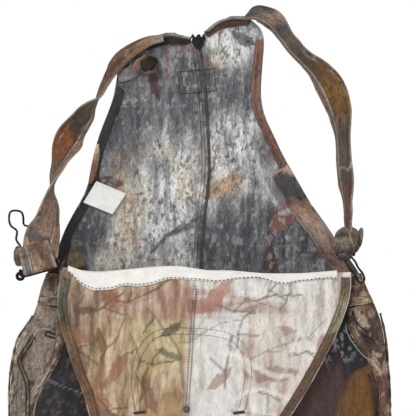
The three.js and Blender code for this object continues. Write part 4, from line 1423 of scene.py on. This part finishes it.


# Raised lines on the hips, one of them a painted shadow beside the right fold: name, radius, thread, distance
# between the two of a pair, and points.
HIP_LINES = (
    ("hip_seam_left", 0.9, black_thread, 4.5, (
        (-219, -389), (-229, -405), (-238, -420), (-235, -432), (-229, -446), (-227, -465), (-227, -493))),
    ("hip_fold_left", 0.45, pale_thread, 0, (
        (-195, -381), (-207, -380), (-216, -384), (-219, -398), (-217, -410), (-210, -425), (-207, -437),
        (-214, -448), (-223, -462))),
    ("hip_band_left", 0.45, pale_thread, 0, ((-212, -343), (-200, -339), (-188, -338))),
    ("hip_seam_right", 0.9, black_thread, 5, ((216, -437), (221, -451), (224, -472), (225, -493))),
    ("hip_fold_right", 0.45, pale_thread, 0, (
        (184, -375), (186, -384), (191, -394), (200, -406), (210, -417), (224, -422))),
    ("hip_shadow_right", 1.1, black_thread, 0, ((194, -358), (198, -370), (206, -379), (215, -385))),
)


def build_front():
    build_hip("left", -1, paint_hip_left, 620)
    build_hip("right", 1, paint_hip_right, 640)
    buttonhole("buttonhole_left", (-0.203, -0.386), (-0.181, -0.392))
    buttonhole("buttonhole_right", (0.199, -0.387), (0.219, -0.396))
    for name, radius, thread, apart, corners in HIP_LINES:
        welt(name, corners, radius * MM, thread, apart * MM)
    for name, node, face, painter in (
        ("front_lower_hem", "front_bottom_hem", front_face, paint_outside(660)),
        ("back_lower_hem", "back_bottom_hem", lambda x, z: back_face(x, z) + 3.2 * MM, paint_outside(670)),
    ):
        middle = hem(name, node, face, 1.6 * MM, painter, upright=False, own=False)
        if name == "front_lower_hem":
            sew("front_hem_stitches", [along_grid(middle, 0.12, HEM / 2)], brown_thread, "garment")
        else:
            sew("back_hem_stitches", [along_grid(middle, 0.12, HEM / 2, -1)], brown_thread, "garment")
    middle = hem(
        "front_seam_strip", "centre_front_seam", front_face, 1.2 * MM, paint_outside(680),
    )
    rows = [along_grid(middle, share, HEM / 2) for share in (0.2, 0.8)]
    sew("front_seam_stitches", rows, brown_thread, "garment")


# ------------------------------------------------------------------------------------------------
# The bib, folded down
# ------------------------------------------------------------------------------------------------

# The line of the fold and the scalloped lower edge of its facing tape, as (x, z) in millimetres.
FOLD_LINE = np.array([
    (-190, -299), (-170, -300), (-160, -306), (-133, -308), (-100, -305), (-60, -301), (-31, -300),
    (6, -306), (35, -306), (77, -310), (126, -310), (178, -306), (200, -306),
]) * MM
TAPE_STITCHES = np.array([
    (-173, -302), (-163, -312), (-154, -321), (-140, -327), (-114, -325), (-100, -319), (-79, -322),
    (-67, -319), (-47, -312), (-14, -313), (5, -314), (15, -317), (35, -313), (71, -309), (87, -315),
    (100, -320), (126, -315), (150, -312), (172, -312),
]) * MM


def smooth_line(points, x):
    """The height of a line of points at x, with its corners rounded."""
    fine = np.linspace(points[0, 0], points[-1, 0], 160)
    height = np.interp(fine, points[:, 0], points[:, 1])
    return np.interp(x, fine, softened(height, 10))


def fold_height(x):
    return smooth_line(FOLD_LINE, x)


def hang(x, z):
    """Heights of bib cloth moved so that its folded edge follows the fold line."""
    share = smoothstep(z, FOLD_Z - 70 * MM, FOLD_Z)
    return z + (fold_height(x) - FOLD_Z) * share


def build_bib():
    left, right = Outline("bib_panel_left"), Outline("bib_panel_right")
    hem_left, hem_right = Outline("bib_edge_hem_left"), Outline("bib_edge_hem_right")
    outer_print = paint_outside(701)
    panel(
        "bib_cloth_left", "bib_panel_left", lambda x, z: bib_face(x, z) + 0.4 * MM, paint_bib, outer_print,
        "bib_cloth", bib_cloth, "bib", warp=hang,
        left=covered(left.left, hem_left.left, hem_left, -1),
        right=joined(left.right, right.left, 12 * MM, 1.5 * MM),
    )
    panel(
        "bib_cloth_right", "bib_panel_right", bib_face, paint_bib, outer_print,
        "bib_cloth", bib_cloth, "bib", warp=hang,
        left=joined(right.left, left.right, 12 * MM),
        right=covered(right.right, hem_right.right, hem_right, 1),
    )
    brown_edge = paint_banded([
        (-0.55, 102, 76, 56), (-0.47, 122, 90, 64), (-0.42, 100, 74, 56), (-0.385, 126, 100, 78),
        (-0.365, 96, 84, 66), (-0.345, 82, 92, 72), (-0.33, 112, 106, 94), (-0.31, 96, 88, 76)], 710)
    tan_edge = paint_banded([
        (-0.55, 114, 90, 72), (-0.47, 106, 82, 66), (-0.41, 98, 76, 60), (-0.383, 108, 86, 66),
        (-0.378, 134, 124, 100), (-0.342, 142, 132, 108), (-0.336, 128, 100, 82),
        (-0.325, 110, 92, 80), (-0.31, 104, 90, 78)], 711)
    for side, painter, share in (("left", brown_edge, 0.85), ("right", tan_edge, 0.15)):
        middle = hem(
            f"bib_edge_{side}", f"bib_edge_hem_{side}", bib_face, 1.6 * MM, painter, "bib",
            seed=712,
        )
        sew(f"bib_edge_stitches_{side}", [along_grid(middle, share, HEM / 2)], brown_thread, "bib")
        sew(f"bib_edge_line_{side}", [along_grid(middle, 0.5, HEM / 2)], black_thread, "bib", *LONG_STITCH)
    middle = hem(
        "bib_upper_hem", "bib_top_hem", bib_face, 1.6 * MM, paint_outside(715), "bib",
        upright=False, seed=713,
    )
    sew("bib_upper_hem_stitches", [along_grid(middle, 0.15, HEM / 2)], brown_thread, "bib")
    middle = hem(
        "bib_seam_strip", "bib_centre_seam", bib_face, 1.1 * MM, paint_bib, "bib", own=False,
        cloth=bib_cloth, seed=714,
    )
    rows = [along_grid(middle, share, HEM / 2) for share in (0.12, 0.88)]
    sew("bib_seam_stitches", rows, black_thread, "bib", 3.6 * MM, 0.42, 0.55 * MM)


def loop_path(outline, inset, cut):
    """Up one side of a panel, over its top and down the other, moved in by inset."""
    z = np.linspace(outline.bottom + cut, outline.top, 70)
    up = np.stack([outline.left(z), z], 1)
    down = np.stack([outline.right(z), z], 1)[::-1]
    path = even(np.concatenate([up, down]), 2 * GRID)
    rounded = np.stack([softened(path[:, 0], 60), softened(path[:, 1], 60)], 1)
    return beside(rounded, -inset)


def build_pocket():
    outline = Outline("bib_pocket")
    face = lambda x, z: bib_face(x, z) + CLOTH + 1.2 * MM
    middle, flat = panel_grid(outline, face)
    piece = slab(
        "bib_pocket_cloth", middle, CLOTH, flat, paint_outside(720), outside_cloth, "bib",
        ("bib_pocket",),
    )
    sheets.append((piece, flat))
    rows = [on_face(loop_path(outline, inset, 16 * MM), bib_face) for inset in (1.5 * MM, 9.5 * MM)]
    sew("pocket_stitches", rows, brown_thread, "bib", 3.2 * MM, 0.6, 0.42 * MM)
    outer = [on_face(loop_path(outline, inset, 4 * MM), face, CLOTH / 2, 1) for inset in (1.5 * MM, 9.5 * MM)]
    sew("pocket_stitches_outside", outer, pale_thread, "bib", 3.2 * MM)
    for side in ("left", "right"):
        low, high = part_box(f"pocket_bar_tack_{side}")
        centre = (low + high) / 2
        reach = 7 * MM
        spine = [(centre.x - reach, centre.z - 1 * MM), (centre.x + reach, centre.z + 1 * MM)]
        satin(
            f"pocket_bar_{side}", spine, bib_face, 3.4 * MM, brown_thread, "bib", 0.8 * MM,
            (f"pocket_bar_tack_{side}",),
        )


def build_tape():
    start, end = TAPE_STITCHES[0, 0], TAPE_STITCHES[-1, 0]
    x = np.linspace(start, end, 230)[:, None]
    v = np.linspace(1, 0, 15)[None, :]
    top = fold_height(x) + 2.5 * MM
    low = smooth_line(TAPE_STITCHES, x) - 2.4 * MM + 0.6 * MM * noise(x, 0 * x, 7 * MM, 31)
    z = low + (top - low) * np.sin(v * math.pi / 2 * 0.98)
    over = smoothstep(v, 0.72, 1.0)
    puff = 1.5 * MM * noise(x, z, (16 * MM, 14 * MM), 32) * np.sin(math.pi * v)
    puff = puff + 0.5 * MM * noise(x, z, 5 * MM, 33)
    y = bib_face(x, z) - 1.8 * MM - puff + 5.5 * MM * over
    middle = np.stack([x + 0 * v, y, z], -1)
    flat = np.stack([v * 21 * MM + 0 * x, x + 0 * v], -1)
    tone = paint_plain(rgb(236, 233, 228), 0.06, 34)
    slab(
        "waist_tape", middle, 1.1 * MM, flat, tone, tape_cloth, "bib", ("waist_facing_tape",),
        crown=0.6,
    )
    column = 13  # the second line of points from the tape's lower edge
    row = facing_front(middle[:, column], 0.55 * MM)
    sew("waist_tape_stitches", [row], black_thread, "bib", 5.2 * MM, 0.62, 0.55 * MM)


def build_fold():
    """Cloth that runs from the front panel over the fold to the bib."""
    x = np.linspace(-184 * MM, 191 * MM, 176)[:, None]
    v = np.linspace(0, 1, 25)[None, :]
    near_front = front_face(x, FOLD_Z + 0 * x) - 0.2 * MM
    near_bib = bib_face(x, FOLD_Z + 0 * x) + 1.5 * MM
    angle = (v - 0.25) / 0.5 * math.pi
    turning = np.clip(angle, 0, math.pi)
    middle_y, half = (near_front + near_bib) / 2, (near_front - near_bib) / 2
    y = middle_y + half * np.cos(turning)
    leg = 14 * MM * (np.maximum(0.25 - v, 0) + np.maximum(v - 0.75, 0)) / 0.25
    z = fold_height(x) - 7 * MM + 6 * MM * np.sin(turning) - leg
    middle = np.stack([x + 0 * v, y, z], -1)
    flat = np.stack([x + 0 * v, v * 60 * MM + 0 * x], -1)
    piece = slab("waist_fold", middle, CLOTH, flat, paint_outside(730), outside_cloth, None)
    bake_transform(piece)


# ------------------------------------------------------------------------------------------------
# Straps
# ------------------------------------------------------------------------------------------------

# Stations along each strap: x, y, z in millimetres, twist in degrees, width in millimetres.
LEFT_UPPER = [
    (-119, 19, -43, 35, 17), (-128, 18, -60, 60, 23), (-137, 16, -79, 80, 34), (-150, 10, -98, 122, 38),
    (-170, 2, -126, 150, 38), (-182, -10, -158, 226, 38), (-193, -20, -189, 258, 38),
]
LEFT_LOWER = [
    (-193.2, -20.4, -191, 260, 38), (-195, -28, -214, 296, 38), (-199, -36, -240, 325, 38),
    (-206, -38, -262, 360, 46), (-209, -38, -285, 360, 46),
]
RIGHT_UPPER = [
    (56, 16, 26, 0, 5), (62, 17, 28.5, 0, 12), (70, 17, 31, 0, 21), (82, 18, 28, 8, 25), (95, 18, 20, 40, 31),
    (107, 17, 3, 56, 34.2), (119, 15, -14, 62, 38), (138, 10, -32, 60, 38), (154, 4, -49, 40, 38),
    (167, -2, -69, 12, 38), (177, -8, -98, 40, 38), (180, -13, -128, 62, 38),
]
RIGHT_LOWER = [
    (180.3, -13.5, -131, 62, 38), (182, -16, -160, 64, 38), (185, -19, -190, 62, 38),
    (187, -22, -222, 72, 30.4), (187, -24, -247, 70, 19), (188, -25, -262, 60, 17),
]
LEFT_ROOT = [
    (-52, 19.5, -1, 180, 9), (-70, 17.5, -5, 180, 13), (-90, 15.5, -15, 180, 17), (-107, 14.5, -28, 180, 19),
    (-117, 15, -41, 180, 17), (-121, 15.5, -50, 180, 12), (-125, 16, -58, 180, 7),
]
STRAP = 3.4 * MM
BUNCH_LOW, BUNCH_HIGH = np.array([-34, -2, 2]) * MM, np.array([-19, 8, 28]) * MM  # beside the left rod


def ribbon(stations, seed):
    """The middle surface of a twisting strap and its flat places."""
    rough = np.array(stations, float) * [MM, MM, MM, 1, MM]
    length = float(lengths(rough[:, :3])[-1])
    path = smooth_path(rough, max(int(length / (1.8 * MM)), 8))
    points, twist, width = path[:, :3], np.radians(path[:, 3]), path[:, 4]
    tangent = np.gradient(points, axis=0)
    tangent /= np.linalg.norm(tangent, axis=1, keepdims=True)
    flat_way = np.stack([-tangent[:, 2], 0 * twist, tangent[:, 0]], 1)
    flat_way /= np.linalg.norm(flat_way, axis=1, keepdims=True)
    across = flat_way * np.cos(twist)[:, None] + np.cross(tangent, flat_way) * np.sin(twist)[:, None]
    u = np.linspace(-1, 1, 27)
    middle = points[:, None] + across[:, None] * (u[None, :, None] * width[:, None, None] / 2)
    at = lengths(points)
    reach = u[None, :] * width[:, None] / 2
    normal = np.cross(across, tangent)
    ripple = 1.1 * MM * noise(reach, at[:, None] + 0 * reach, (14 * MM, 22 * MM), seed)
    ripple = ripple + 0.5 * MM * noise(reach, at[:, None] + 0 * reach, (6 * MM, 12 * MM), seed + 1)
    ripple = ripple * smoothstep(1 - np.abs(np.linspace(-1, 1, len(points))), 0, 0.15)[:, None]
    middle = middle + normal[:, None] * ripple[..., None]
    return middle, np.stack([reach, at[:, None] + 0 * reach], -1)


def lapped(painter, tone, seed):
    """Strap colours: the turned-over edge in its own tone, painted shade at its step, painted highlights on
    the long edges.
    """

    def paint(x, z):
        grain = bark(x, z, seed)
        lap = smoothstep(-x, 8.2 * MM, 9.0 * MM) * 0.9
        colour = mix(painter(x, z), tone * (1 + 0.4 * grain[..., None]), lap)
        # The dark line where the turned-over edge steps up is painted shade.
        colour = mix(colour, INK, np.exp(-(((-x - 8.4 * MM) / (0.7 * MM)) ** 2)) * 0.85)
        colour = mix(colour, CREAM, np.exp(-(((-x - 10.0 * MM) / (0.6 * MM)) ** 2)) * 0.55)
        # Both long edges of the strap are lightened as a painted highlight.
        edge_highlight = smoothstep(np.abs(x), 17.6 * MM, 18.6 * MM) * 0.5
        colour = mix(colour, rgb(176, 164, 150), edge_highlight)
        return np.clip(mix(colour, INK, speckle(x, z, 2.6 * MM, 0.3, seed + 1) * 0.45), 0, 1)

    return paint


def strap_slab(name, nodes, stations, painter, body, seed, lap_side=-1):
    """A folded strap with a groove where each long edge is sewn down."""
    middle, flat = ribbon(stations, seed)
    normal = grid_normals(middle)
    u = np.abs(np.linspace(-1, 1, middle.shape[1]))[None, :, None]
    lap = -lap_side * np.linspace(-1, 1, middle.shape[1])[None, :, None]
    half = STRAP / 2 * (1 - 0.55 * u**8 - 0.4 * np.exp(-(((u - 0.8) / 0.07) ** 2)))
    half = half + 0.7 * MM * smoothstep(-lap, 0.42, 0.5) * (1 - u**8)
    points, faces = closed_grid(middle + normal * half, middle - normal * half)
    piece = link(name, points, faces, outside_cloth, body, nodes)
    x = np.broadcast_to(-lap_side * np.linspace(-19, 19, middle.shape[1]) * MM, flat.shape[:2]).ravel()
    painted(piece, painter, np.concatenate([x, -x]), np.tile(flat[..., 1].ravel(), 2))
    rows = []
    for share in (0.1, 0.9):
        for way in (1, -1):
            rows.append(along_grid(middle, share, 0.62 * STRAP / 2, way))
    sew(f"{name}_stitches", rows, brown_thread, body)
    sheets.append((piece, flat))


def lump(name, corners, tones, seed, folds, body, nodes=(), lean=0.0):
    """A soft bunch of cloth that fills a box: folds run up it and wind round it."""
    low, high = Vector(corners[0]), Vector(corners[1])
    centre, half = (low + high) / 2, (high - low) / 2
    rows, sides = 44, 84
    v = np.linspace(-0.985, 0.985, rows)[:, None]
    angle = np.linspace(0, 2 * math.pi, sides, endpoint=False)[None, :]
    fold = np.sin(folds * angle + 2.2 * np.sin(1.7 * v + seed)) + 0.5 * np.sin((folds + 3) * angle - 3.1 * v)
    size = (1 - np.abs(v) ** 3.2) ** 0.5 * (0.86 + 0.11 * fold)
    x = centre.x + half.x * size * np.cos(angle) + lean * v
    y = centre.y + half.y * size * np.sin(angle)
    z = centre.z + half.z * v * (1 + 0.06 * np.sin(3 * angle + seed))
    points = np.stack([x, y, z + 0 * angle], -1).reshape(-1, 3)
    piece = link(name, points, ring_faces(rows, sides), outside_cloth, body, nodes)
    return painted(piece, tones, points[:, 0] + 0.6 * points[:, 1], points[:, 2] - low.z)


ROD_CENTRE, ROD_TILT = np.array([-209, -38, -300.2]) * MM, math.radians(15)
ROD_ALONG = np.array([math.cos(ROD_TILT), 0, math.sin(ROD_TILT)])
ROD_UP = np.array([-math.sin(ROD_TILT), 0, math.cos(ROD_TILT)])


def build_loop():
    """The end of the left strap, turned round its rod and sewn down."""
    bend, leg = 4.2 * MM, 32 * MM
    angle = np.linspace(0, math.pi, 15)
    section = [(-bend, height) for height in np.linspace(leg, 0.5 * MM, 16)]
    section += [(-bend * math.cos(a), -bend * math.sin(a)) for a in angle]
    section += [(bend, height) for height in np.linspace(0.5 * MM, leg, 16)]
    section = np.array(section)
    u = np.linspace(-1, 1, 31)[None, :]
    reach = u * (22 - 2.5 * np.clip(section[:, 1][:, None] / leg, 0, 1)) * MM
    forward = section[:, 0][:, None] + 0 * u
    height = section[:, 1][:, None] + 0 * u
    forward = forward + 0.7 * MM * noise(reach, height, (10 * MM, 12 * MM), 44)
    middle = ROD_CENTRE + reach[..., None] * ROD_ALONG + height[..., None] * ROD_UP
    middle = middle + forward[..., None] * np.array([0, 1.0, 0])
    flat = np.stack([reach + 0 * height, lengths(section)[:, None] + 0 * u], -1)
    painter = lapped(
        paint_strap([(0.0, 150, 118, 100), (0.03, 170, 140, 122), (0.08, 120, 92, 76)], 741),
        rgb(104, 98, 94), 742)
    slab(
        "strap_end_left", middle, 1.8 * MM, flat, painter, outside_cloth, "left_adjuster",
        ("strap_loop_left",), crown=0.5,
    )
    rows = [facing_front(middle[number], 0.9 * MM) for number in (3, 6)]
    sew("strap_end_stitches", rows, brown_thread, "left_adjuster")


def build_keeper():
    """A turn of strap cloth, rolled so that its open end faces the front, with a dark disc in it as painted
    shade.
    """
    low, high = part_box("strap_keeper_left")
    centre, radius = (low + high) / 2 - Vector((0, 0, 3 * MM)), 12.5 * MM
    turn = np.linspace(1.18 * math.pi, -0.62 * math.pi, 80)[:, None]
    depth = np.linspace(-1, 1, 15)[None, :]
    reach = radius * (1 + 0.13 * np.sin(2 * turn + 0.6) + 0.04 * np.sin(5 * turn)) * (1 - 0.2 * depth)
    x = centre.x + reach * np.cos(turn) + 2.5 * MM * depth
    z = centre.z + reach * np.sin(turn) + 2.0 * MM * depth
    y = centre.y + (high.y - low.y) / 2 * 0.9 * depth + 0 * turn
    flat = np.stack([depth * 9 * MM + 0 * turn, (turn[0] - turn) * radius + 0 * depth], -1)
    brown = paint_strap([(0.0, 116, 84, 70), (0.014, 158, 122, 102), (0.026, 120, 84, 70),
                         (0.045, 84, 66, 54)], 764)
    slab(
        "strap_keeper_roll", np.stack([x, y, z], -1), 2.6 * MM, flat, brown, outside_cloth, "garment",
        ("strap_keeper_left",), crown=0.6,
    )
    # A dark disc behind the roll's opening is painted shade that darkens the hole.
    u, v = np.meshgrid(np.linspace(-1, 1, 21), np.linspace(-1, 1, 21))
    disc_x, disc_z = u * np.sqrt(1 - v**2 / 2), v * np.sqrt(1 - u**2 / 2)
    ragged = 0.88 * radius * (1 + 0.16 * noise(disc_x, disc_z, 0.9, 767))
    x, z = centre.x + 2 * MM + 1.05 * ragged * disc_x, centre.z + 1 * MM + ragged * disc_z
    y = centre.y + (high.y - low.y) * 0.3 - 3 * MM * np.abs(noise(x, z, 5 * MM, 765))
    slab(
        "strap_keeper_shade", np.stack([x, y, z], -1), 1.4 * MM, np.stack([x, z], -1),
        paint_plain(rgb(50, 42, 32), 0.9, 766), outside_cloth, "garment",
    )


def build_adjuster_frame():
    """The wire of the left adjuster that runs under the strap's end, with its closed eye."""
    def beside_rod(along, up):
        return ROD_CENTRE + along * MM * ROD_ALONG + up * MM * ROD_UP

    course = ((-27, 0), (-26, -3.6), (-22, -5.6), (0, -5.9), (20, -5.6), (23.5, -3.6), (24, 0))
    bar = smooth_path(np.array([beside_rod(along, up) for along, up in course]), 60)
    points, faces = tube(bar, 1.3 * MM, 10)
    link("adjuster_bar_left", points, faces, wire_metal, "left_adjuster")
    angle = np.linspace(0, 2 * math.pi * 1.02, 40)
    round_eye = np.outer(np.cos(angle), ROD_ALONG) * 4 * MM + np.outer(np.sin(angle), ROD_UP) * 4 * MM
    ring = beside_rod(-27, -4) + round_eye
    ring = ring + np.outer(np.linspace(-1.5, 1.5, 40) * MM, [0, 1.0, 0])
    points, faces = tube(ring, 2.2 * MM, 12)
    link("adjuster_eye_left", points, faces, wire_metal, "left_adjuster")


def build_straps():
    left = paint_strap(
        [(0.0, 92, 62, 52), (0.03, 108, 84, 66), (0.055, 132, 120, 98), (0.068, 92, 86, 76),
         (0.078, 66, 62, 58), (0.095, 76, 66, 58), (0.104, 128, 78, 42), (0.135, 116, 76, 46),
         (0.15, 92, 76, 62), (0.18, 122, 96, 78), (0.22, 140, 112, 94), (0.238, 134, 106, 88),
         (0.241, 92, 84, 78), (0.25, 90, 82, 76), (0.253, 160, 128, 110), (0.3, 166, 136, 120)], 751)
    right = paint_strap(
        [(0.0, 88, 84, 80), (0.025, 104, 98, 94), (0.04, 150, 126, 112), (0.055, 76, 74, 76),
         (0.075, 112, 98, 84), (0.1, 72, 58, 42), (0.13, 106, 78, 44), (0.165, 124, 92, 40),
         (0.2, 98, 72, 48), (0.225, 84, 72, 62), (0.25, 90, 84, 78), (0.262, 78, 74, 68),
         (0.266, 168, 150, 128), (0.27, 80, 76, 68), (0.285, 84, 78, 70), (0.29, 104, 70, 58),
         (0.33, 110, 74, 62), (0.35, 92, 82, 72)], 753)
    strap_slab("strap_left", ("strap_left_upper", "strap_left_lower"), LEFT_UPPER + LEFT_LOWER[1:],
               lapped(left, rgb(124, 100, 82), 761), "left_strap", 51)
    strap_slab("strap_right", ("strap_right_upper", "strap_right_lower"), RIGHT_UPPER + RIGHT_LOWER[1:],
               lapped(right, rgb(132, 108, 94), 763), "right_strap", 53, 1)
    strap_slab("strap_root_left", (), LEFT_ROOT, paint_strap(
        [(0.0, 150, 142, 134), (0.02, 150, 122, 96), (0.05, 128, 98, 78), (0.1, 104, 74, 62)], 757),
        "garment", 55)


def build_knots():
    """The knot of the right strap, with its ear and its loose end, and the bunched cloth on the left."""
    low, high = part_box("strap_right_knot")
    knot = paint_strap([(0.0, 46, 42, 38), (0.009, 78, 72, 60), (0.018, 132, 124, 108),
                        (0.027, 66, 60, 52), (0.04, 118, 108, 94)], 758)
    lump("strap_knot_right", (low - Vector((2, 3, 8)) * MM, high + Vector((1, 1, 3)) * MM), knot, 3, 6,
         "right_strap", ("strap_right_knot",), 1.5 * MM)
    ear = Vector((high.x + 1 * MM, (low.y + high.y) / 2, (low.z + high.z) / 2 + 3 * MM))
    lump("strap_knot_ear", (ear - Vector((4, 6, 13)) * MM, ear + Vector((4, 5, 12)) * MM), knot, 5, 3,
         "right_strap", (), 1.5 * MM)
    tail = (low + Vector((4, 0, -14.5)) * MM, Vector((low.x + 25 * MM, high.y, low.z - 3 * MM)))
    lump("strap_knot_tail", tail, knot, 7, 3, "right_strap")
    bunch = paint_strap([(0.0, 64, 58, 54), (0.008, 112, 102, 92), (0.015, 74, 66, 60),
                         (0.024, 104, 96, 86)], 759)
    lump("strap_bunch_left", (ROD_CENTRE + BUNCH_LOW, ROD_CENTRE + BUNCH_HIGH), bunch, 4, 5, "left_adjuster")


def build_turnback():
    low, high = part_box("strap_turnback_left")
    depth = lambda x, z: (low.y + high.y) / 2 + 0 * x
    corners = np.array([(-112, 0, -50), (-98, 0, -47), (-86, 0, -40), (-77, 0, -33)]) * MM
    path = smooth_path(corners, 30)[:, [0, 2]]
    middle, flat = strip_grid(path, -9 * MM, 8 * MM, depth, 0.0, 13, 0.8 * MM, 61, 1.4 * MM)[:2]
    slab(
        "strap_turnback_flap", middle, 2.4 * MM, flat, paint_plain(rgb(112, 108, 108), 0.5, 62),
        outside_cloth, "garment", ("strap_turnback_left",), crown=0.5,
    )


# ------------------------------------------------------------------------------------------------
# Metal parts kept from the CAD model
# ------------------------------------------------------------------------------------------------


def finish_metal():
    for name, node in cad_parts.items():
        if node.hide_render:
            continue
        wire = "hook" in name or "rod" in name
        node.data.materials.clear()
        node.data.materials.append(wire_metal if wire else tack_metal)


def declare_sheets():
    """Works out the flat area, width and height of every panel, strap, label and pocket; the numbers are not
    used.
    """
    for piece, flat in sheets:
        one = flat[1:, 1:] - flat[:-1, :-1]
        other = flat[1:, :-1] - flat[:-1, 1:]
        area = float(np.abs(one[..., 0] * other[..., 1] - one[..., 1] * other[..., 0]).sum() / 2)
        wide, tall = float(np.ptp(flat[..., 0])), float(np.ptp(flat[..., 1]))
        area = min(area, 0.999 * wide * tall)  # a full rectangle's area may not round past its sides' product


for build in (
    build_back, build_armhole_left, build_armhole_turn, build_facing_corner, build_armhole_right,
    build_neck, build_gather, build_patch, build_label, build_front, build_bib, build_pocket, build_tape,
    build_fold, build_straps, build_knots, build_keeper, build_turnback, build_loop, build_adjuster_frame,
    finish_metal, declare_sheets,
):
    build()

# ------------------------------------------------------------------------------------------------
# Camera, light and floor
# ------------------------------------------------------------------------------------------------

FIELD = 0.541  # width of the view at the garment, in metres
CAMERA_DISTANCE = 2.6
SENSOR = 36.0
target = Vector(((cad_low.x + cad_high.x) / 2 + 10.5 * MM, 0, cad_high.z - 264.3 * MM))


def aim(thing, point):
    thing.rotation_euler = (point - thing.location).to_track_quat("-Z", "Y").to_euler()


camera_data = bpy.data.cameras.new("camera")
camera_data.sensor_width = SENSOR
camera_data.lens = SENSOR * CAMERA_DISTANCE / FIELD
camera = bpy.data.objects.new("camera", camera_data)
camera.location = target - Vector((0, CAMERA_DISTANCE, 0))
bpy.context.scene.collection.objects.link(camera)
aim(camera, target)
bpy.context.scene.camera = camera

for name, place, size, power in (
    ("key", (-1.1, -2.3, 1.1), 1.3, 42.0),
    ("fill", (1.6, -2.0, 0.2), 1.8, 12.0),
    ("back", (0.4, 2.4, 1.0), 1.6, 20.0),
):
    light = bpy.data.lights.new(name, "AREA")
    light.size = size
    light.energy = power
    lamp = bpy.data.objects.new(name, light)
    lamp.location = place
    bpy.context.scene.collection.objects.link(lamp)
    aim(lamp, target)

world = bpy.data.worlds.new("studio")
bpy.context.scene.world = world
world.use_nodes = True
sky = world.node_tree
ambient = sky.nodes["Background"]
ambient.inputs["Color"].default_value = (1, 1, 1, 1)
ambient.inputs["Strength"].default_value = 0.58
backdrop = sky.nodes.new("ShaderNodeBackground")
backdrop.inputs["Color"].default_value = (1, 1, 1, 1)
seen = sky.nodes.new("ShaderNodeLightPath")
either = sky.nodes.new("ShaderNodeMixShader")
sky.links.new(seen.outputs["Is Camera Ray"], either.inputs[0])
sky.links.new(ambient.outputs[0], either.inputs[1])
sky.links.new(backdrop.outputs[0], either.inputs[2])
sky.links.new(either.outputs[0], sky.nodes["World Output"].inputs["Surface"])
bpy.context.scene.view_settings.view_transform = "Standard"

FLOOR_RADIUS = 0.85
floor_points = [
    (FLOOR_RADIUS * math.cos(a), FLOOR_RADIUS * math.sin(a), cad_low.z - 8 * MM)
    for a in np.linspace(0, 2 * math.pi, 96, endpoint=False)
]
floor_mesh = bpy.data.meshes.new("floor")
floor_mesh.from_pydata(floor_points, [], [tuple(range(96))])
floor_cloth = Nodes("floor")
floor_grain = floor_cloth.noise(floor_cloth.add("ShaderNodeTexCoord").outputs["Object"], 30.0)
floor_tone = floor_cloth.blended((0.8, 0.8, 0.79), (0.84, 0.84, 0.83), floor_grain)
floor_cloth.join(floor_tone, floor_cloth.shader.inputs["Base Color"])
floor_cloth.shader.inputs["Roughness"].default_value = 0.9
floor_mesh.materials.append(floor_cloth.material)
floor = bpy.data.objects.new("floor", floor_mesh)
bpy.context.scene.collection.objects.link(floor)
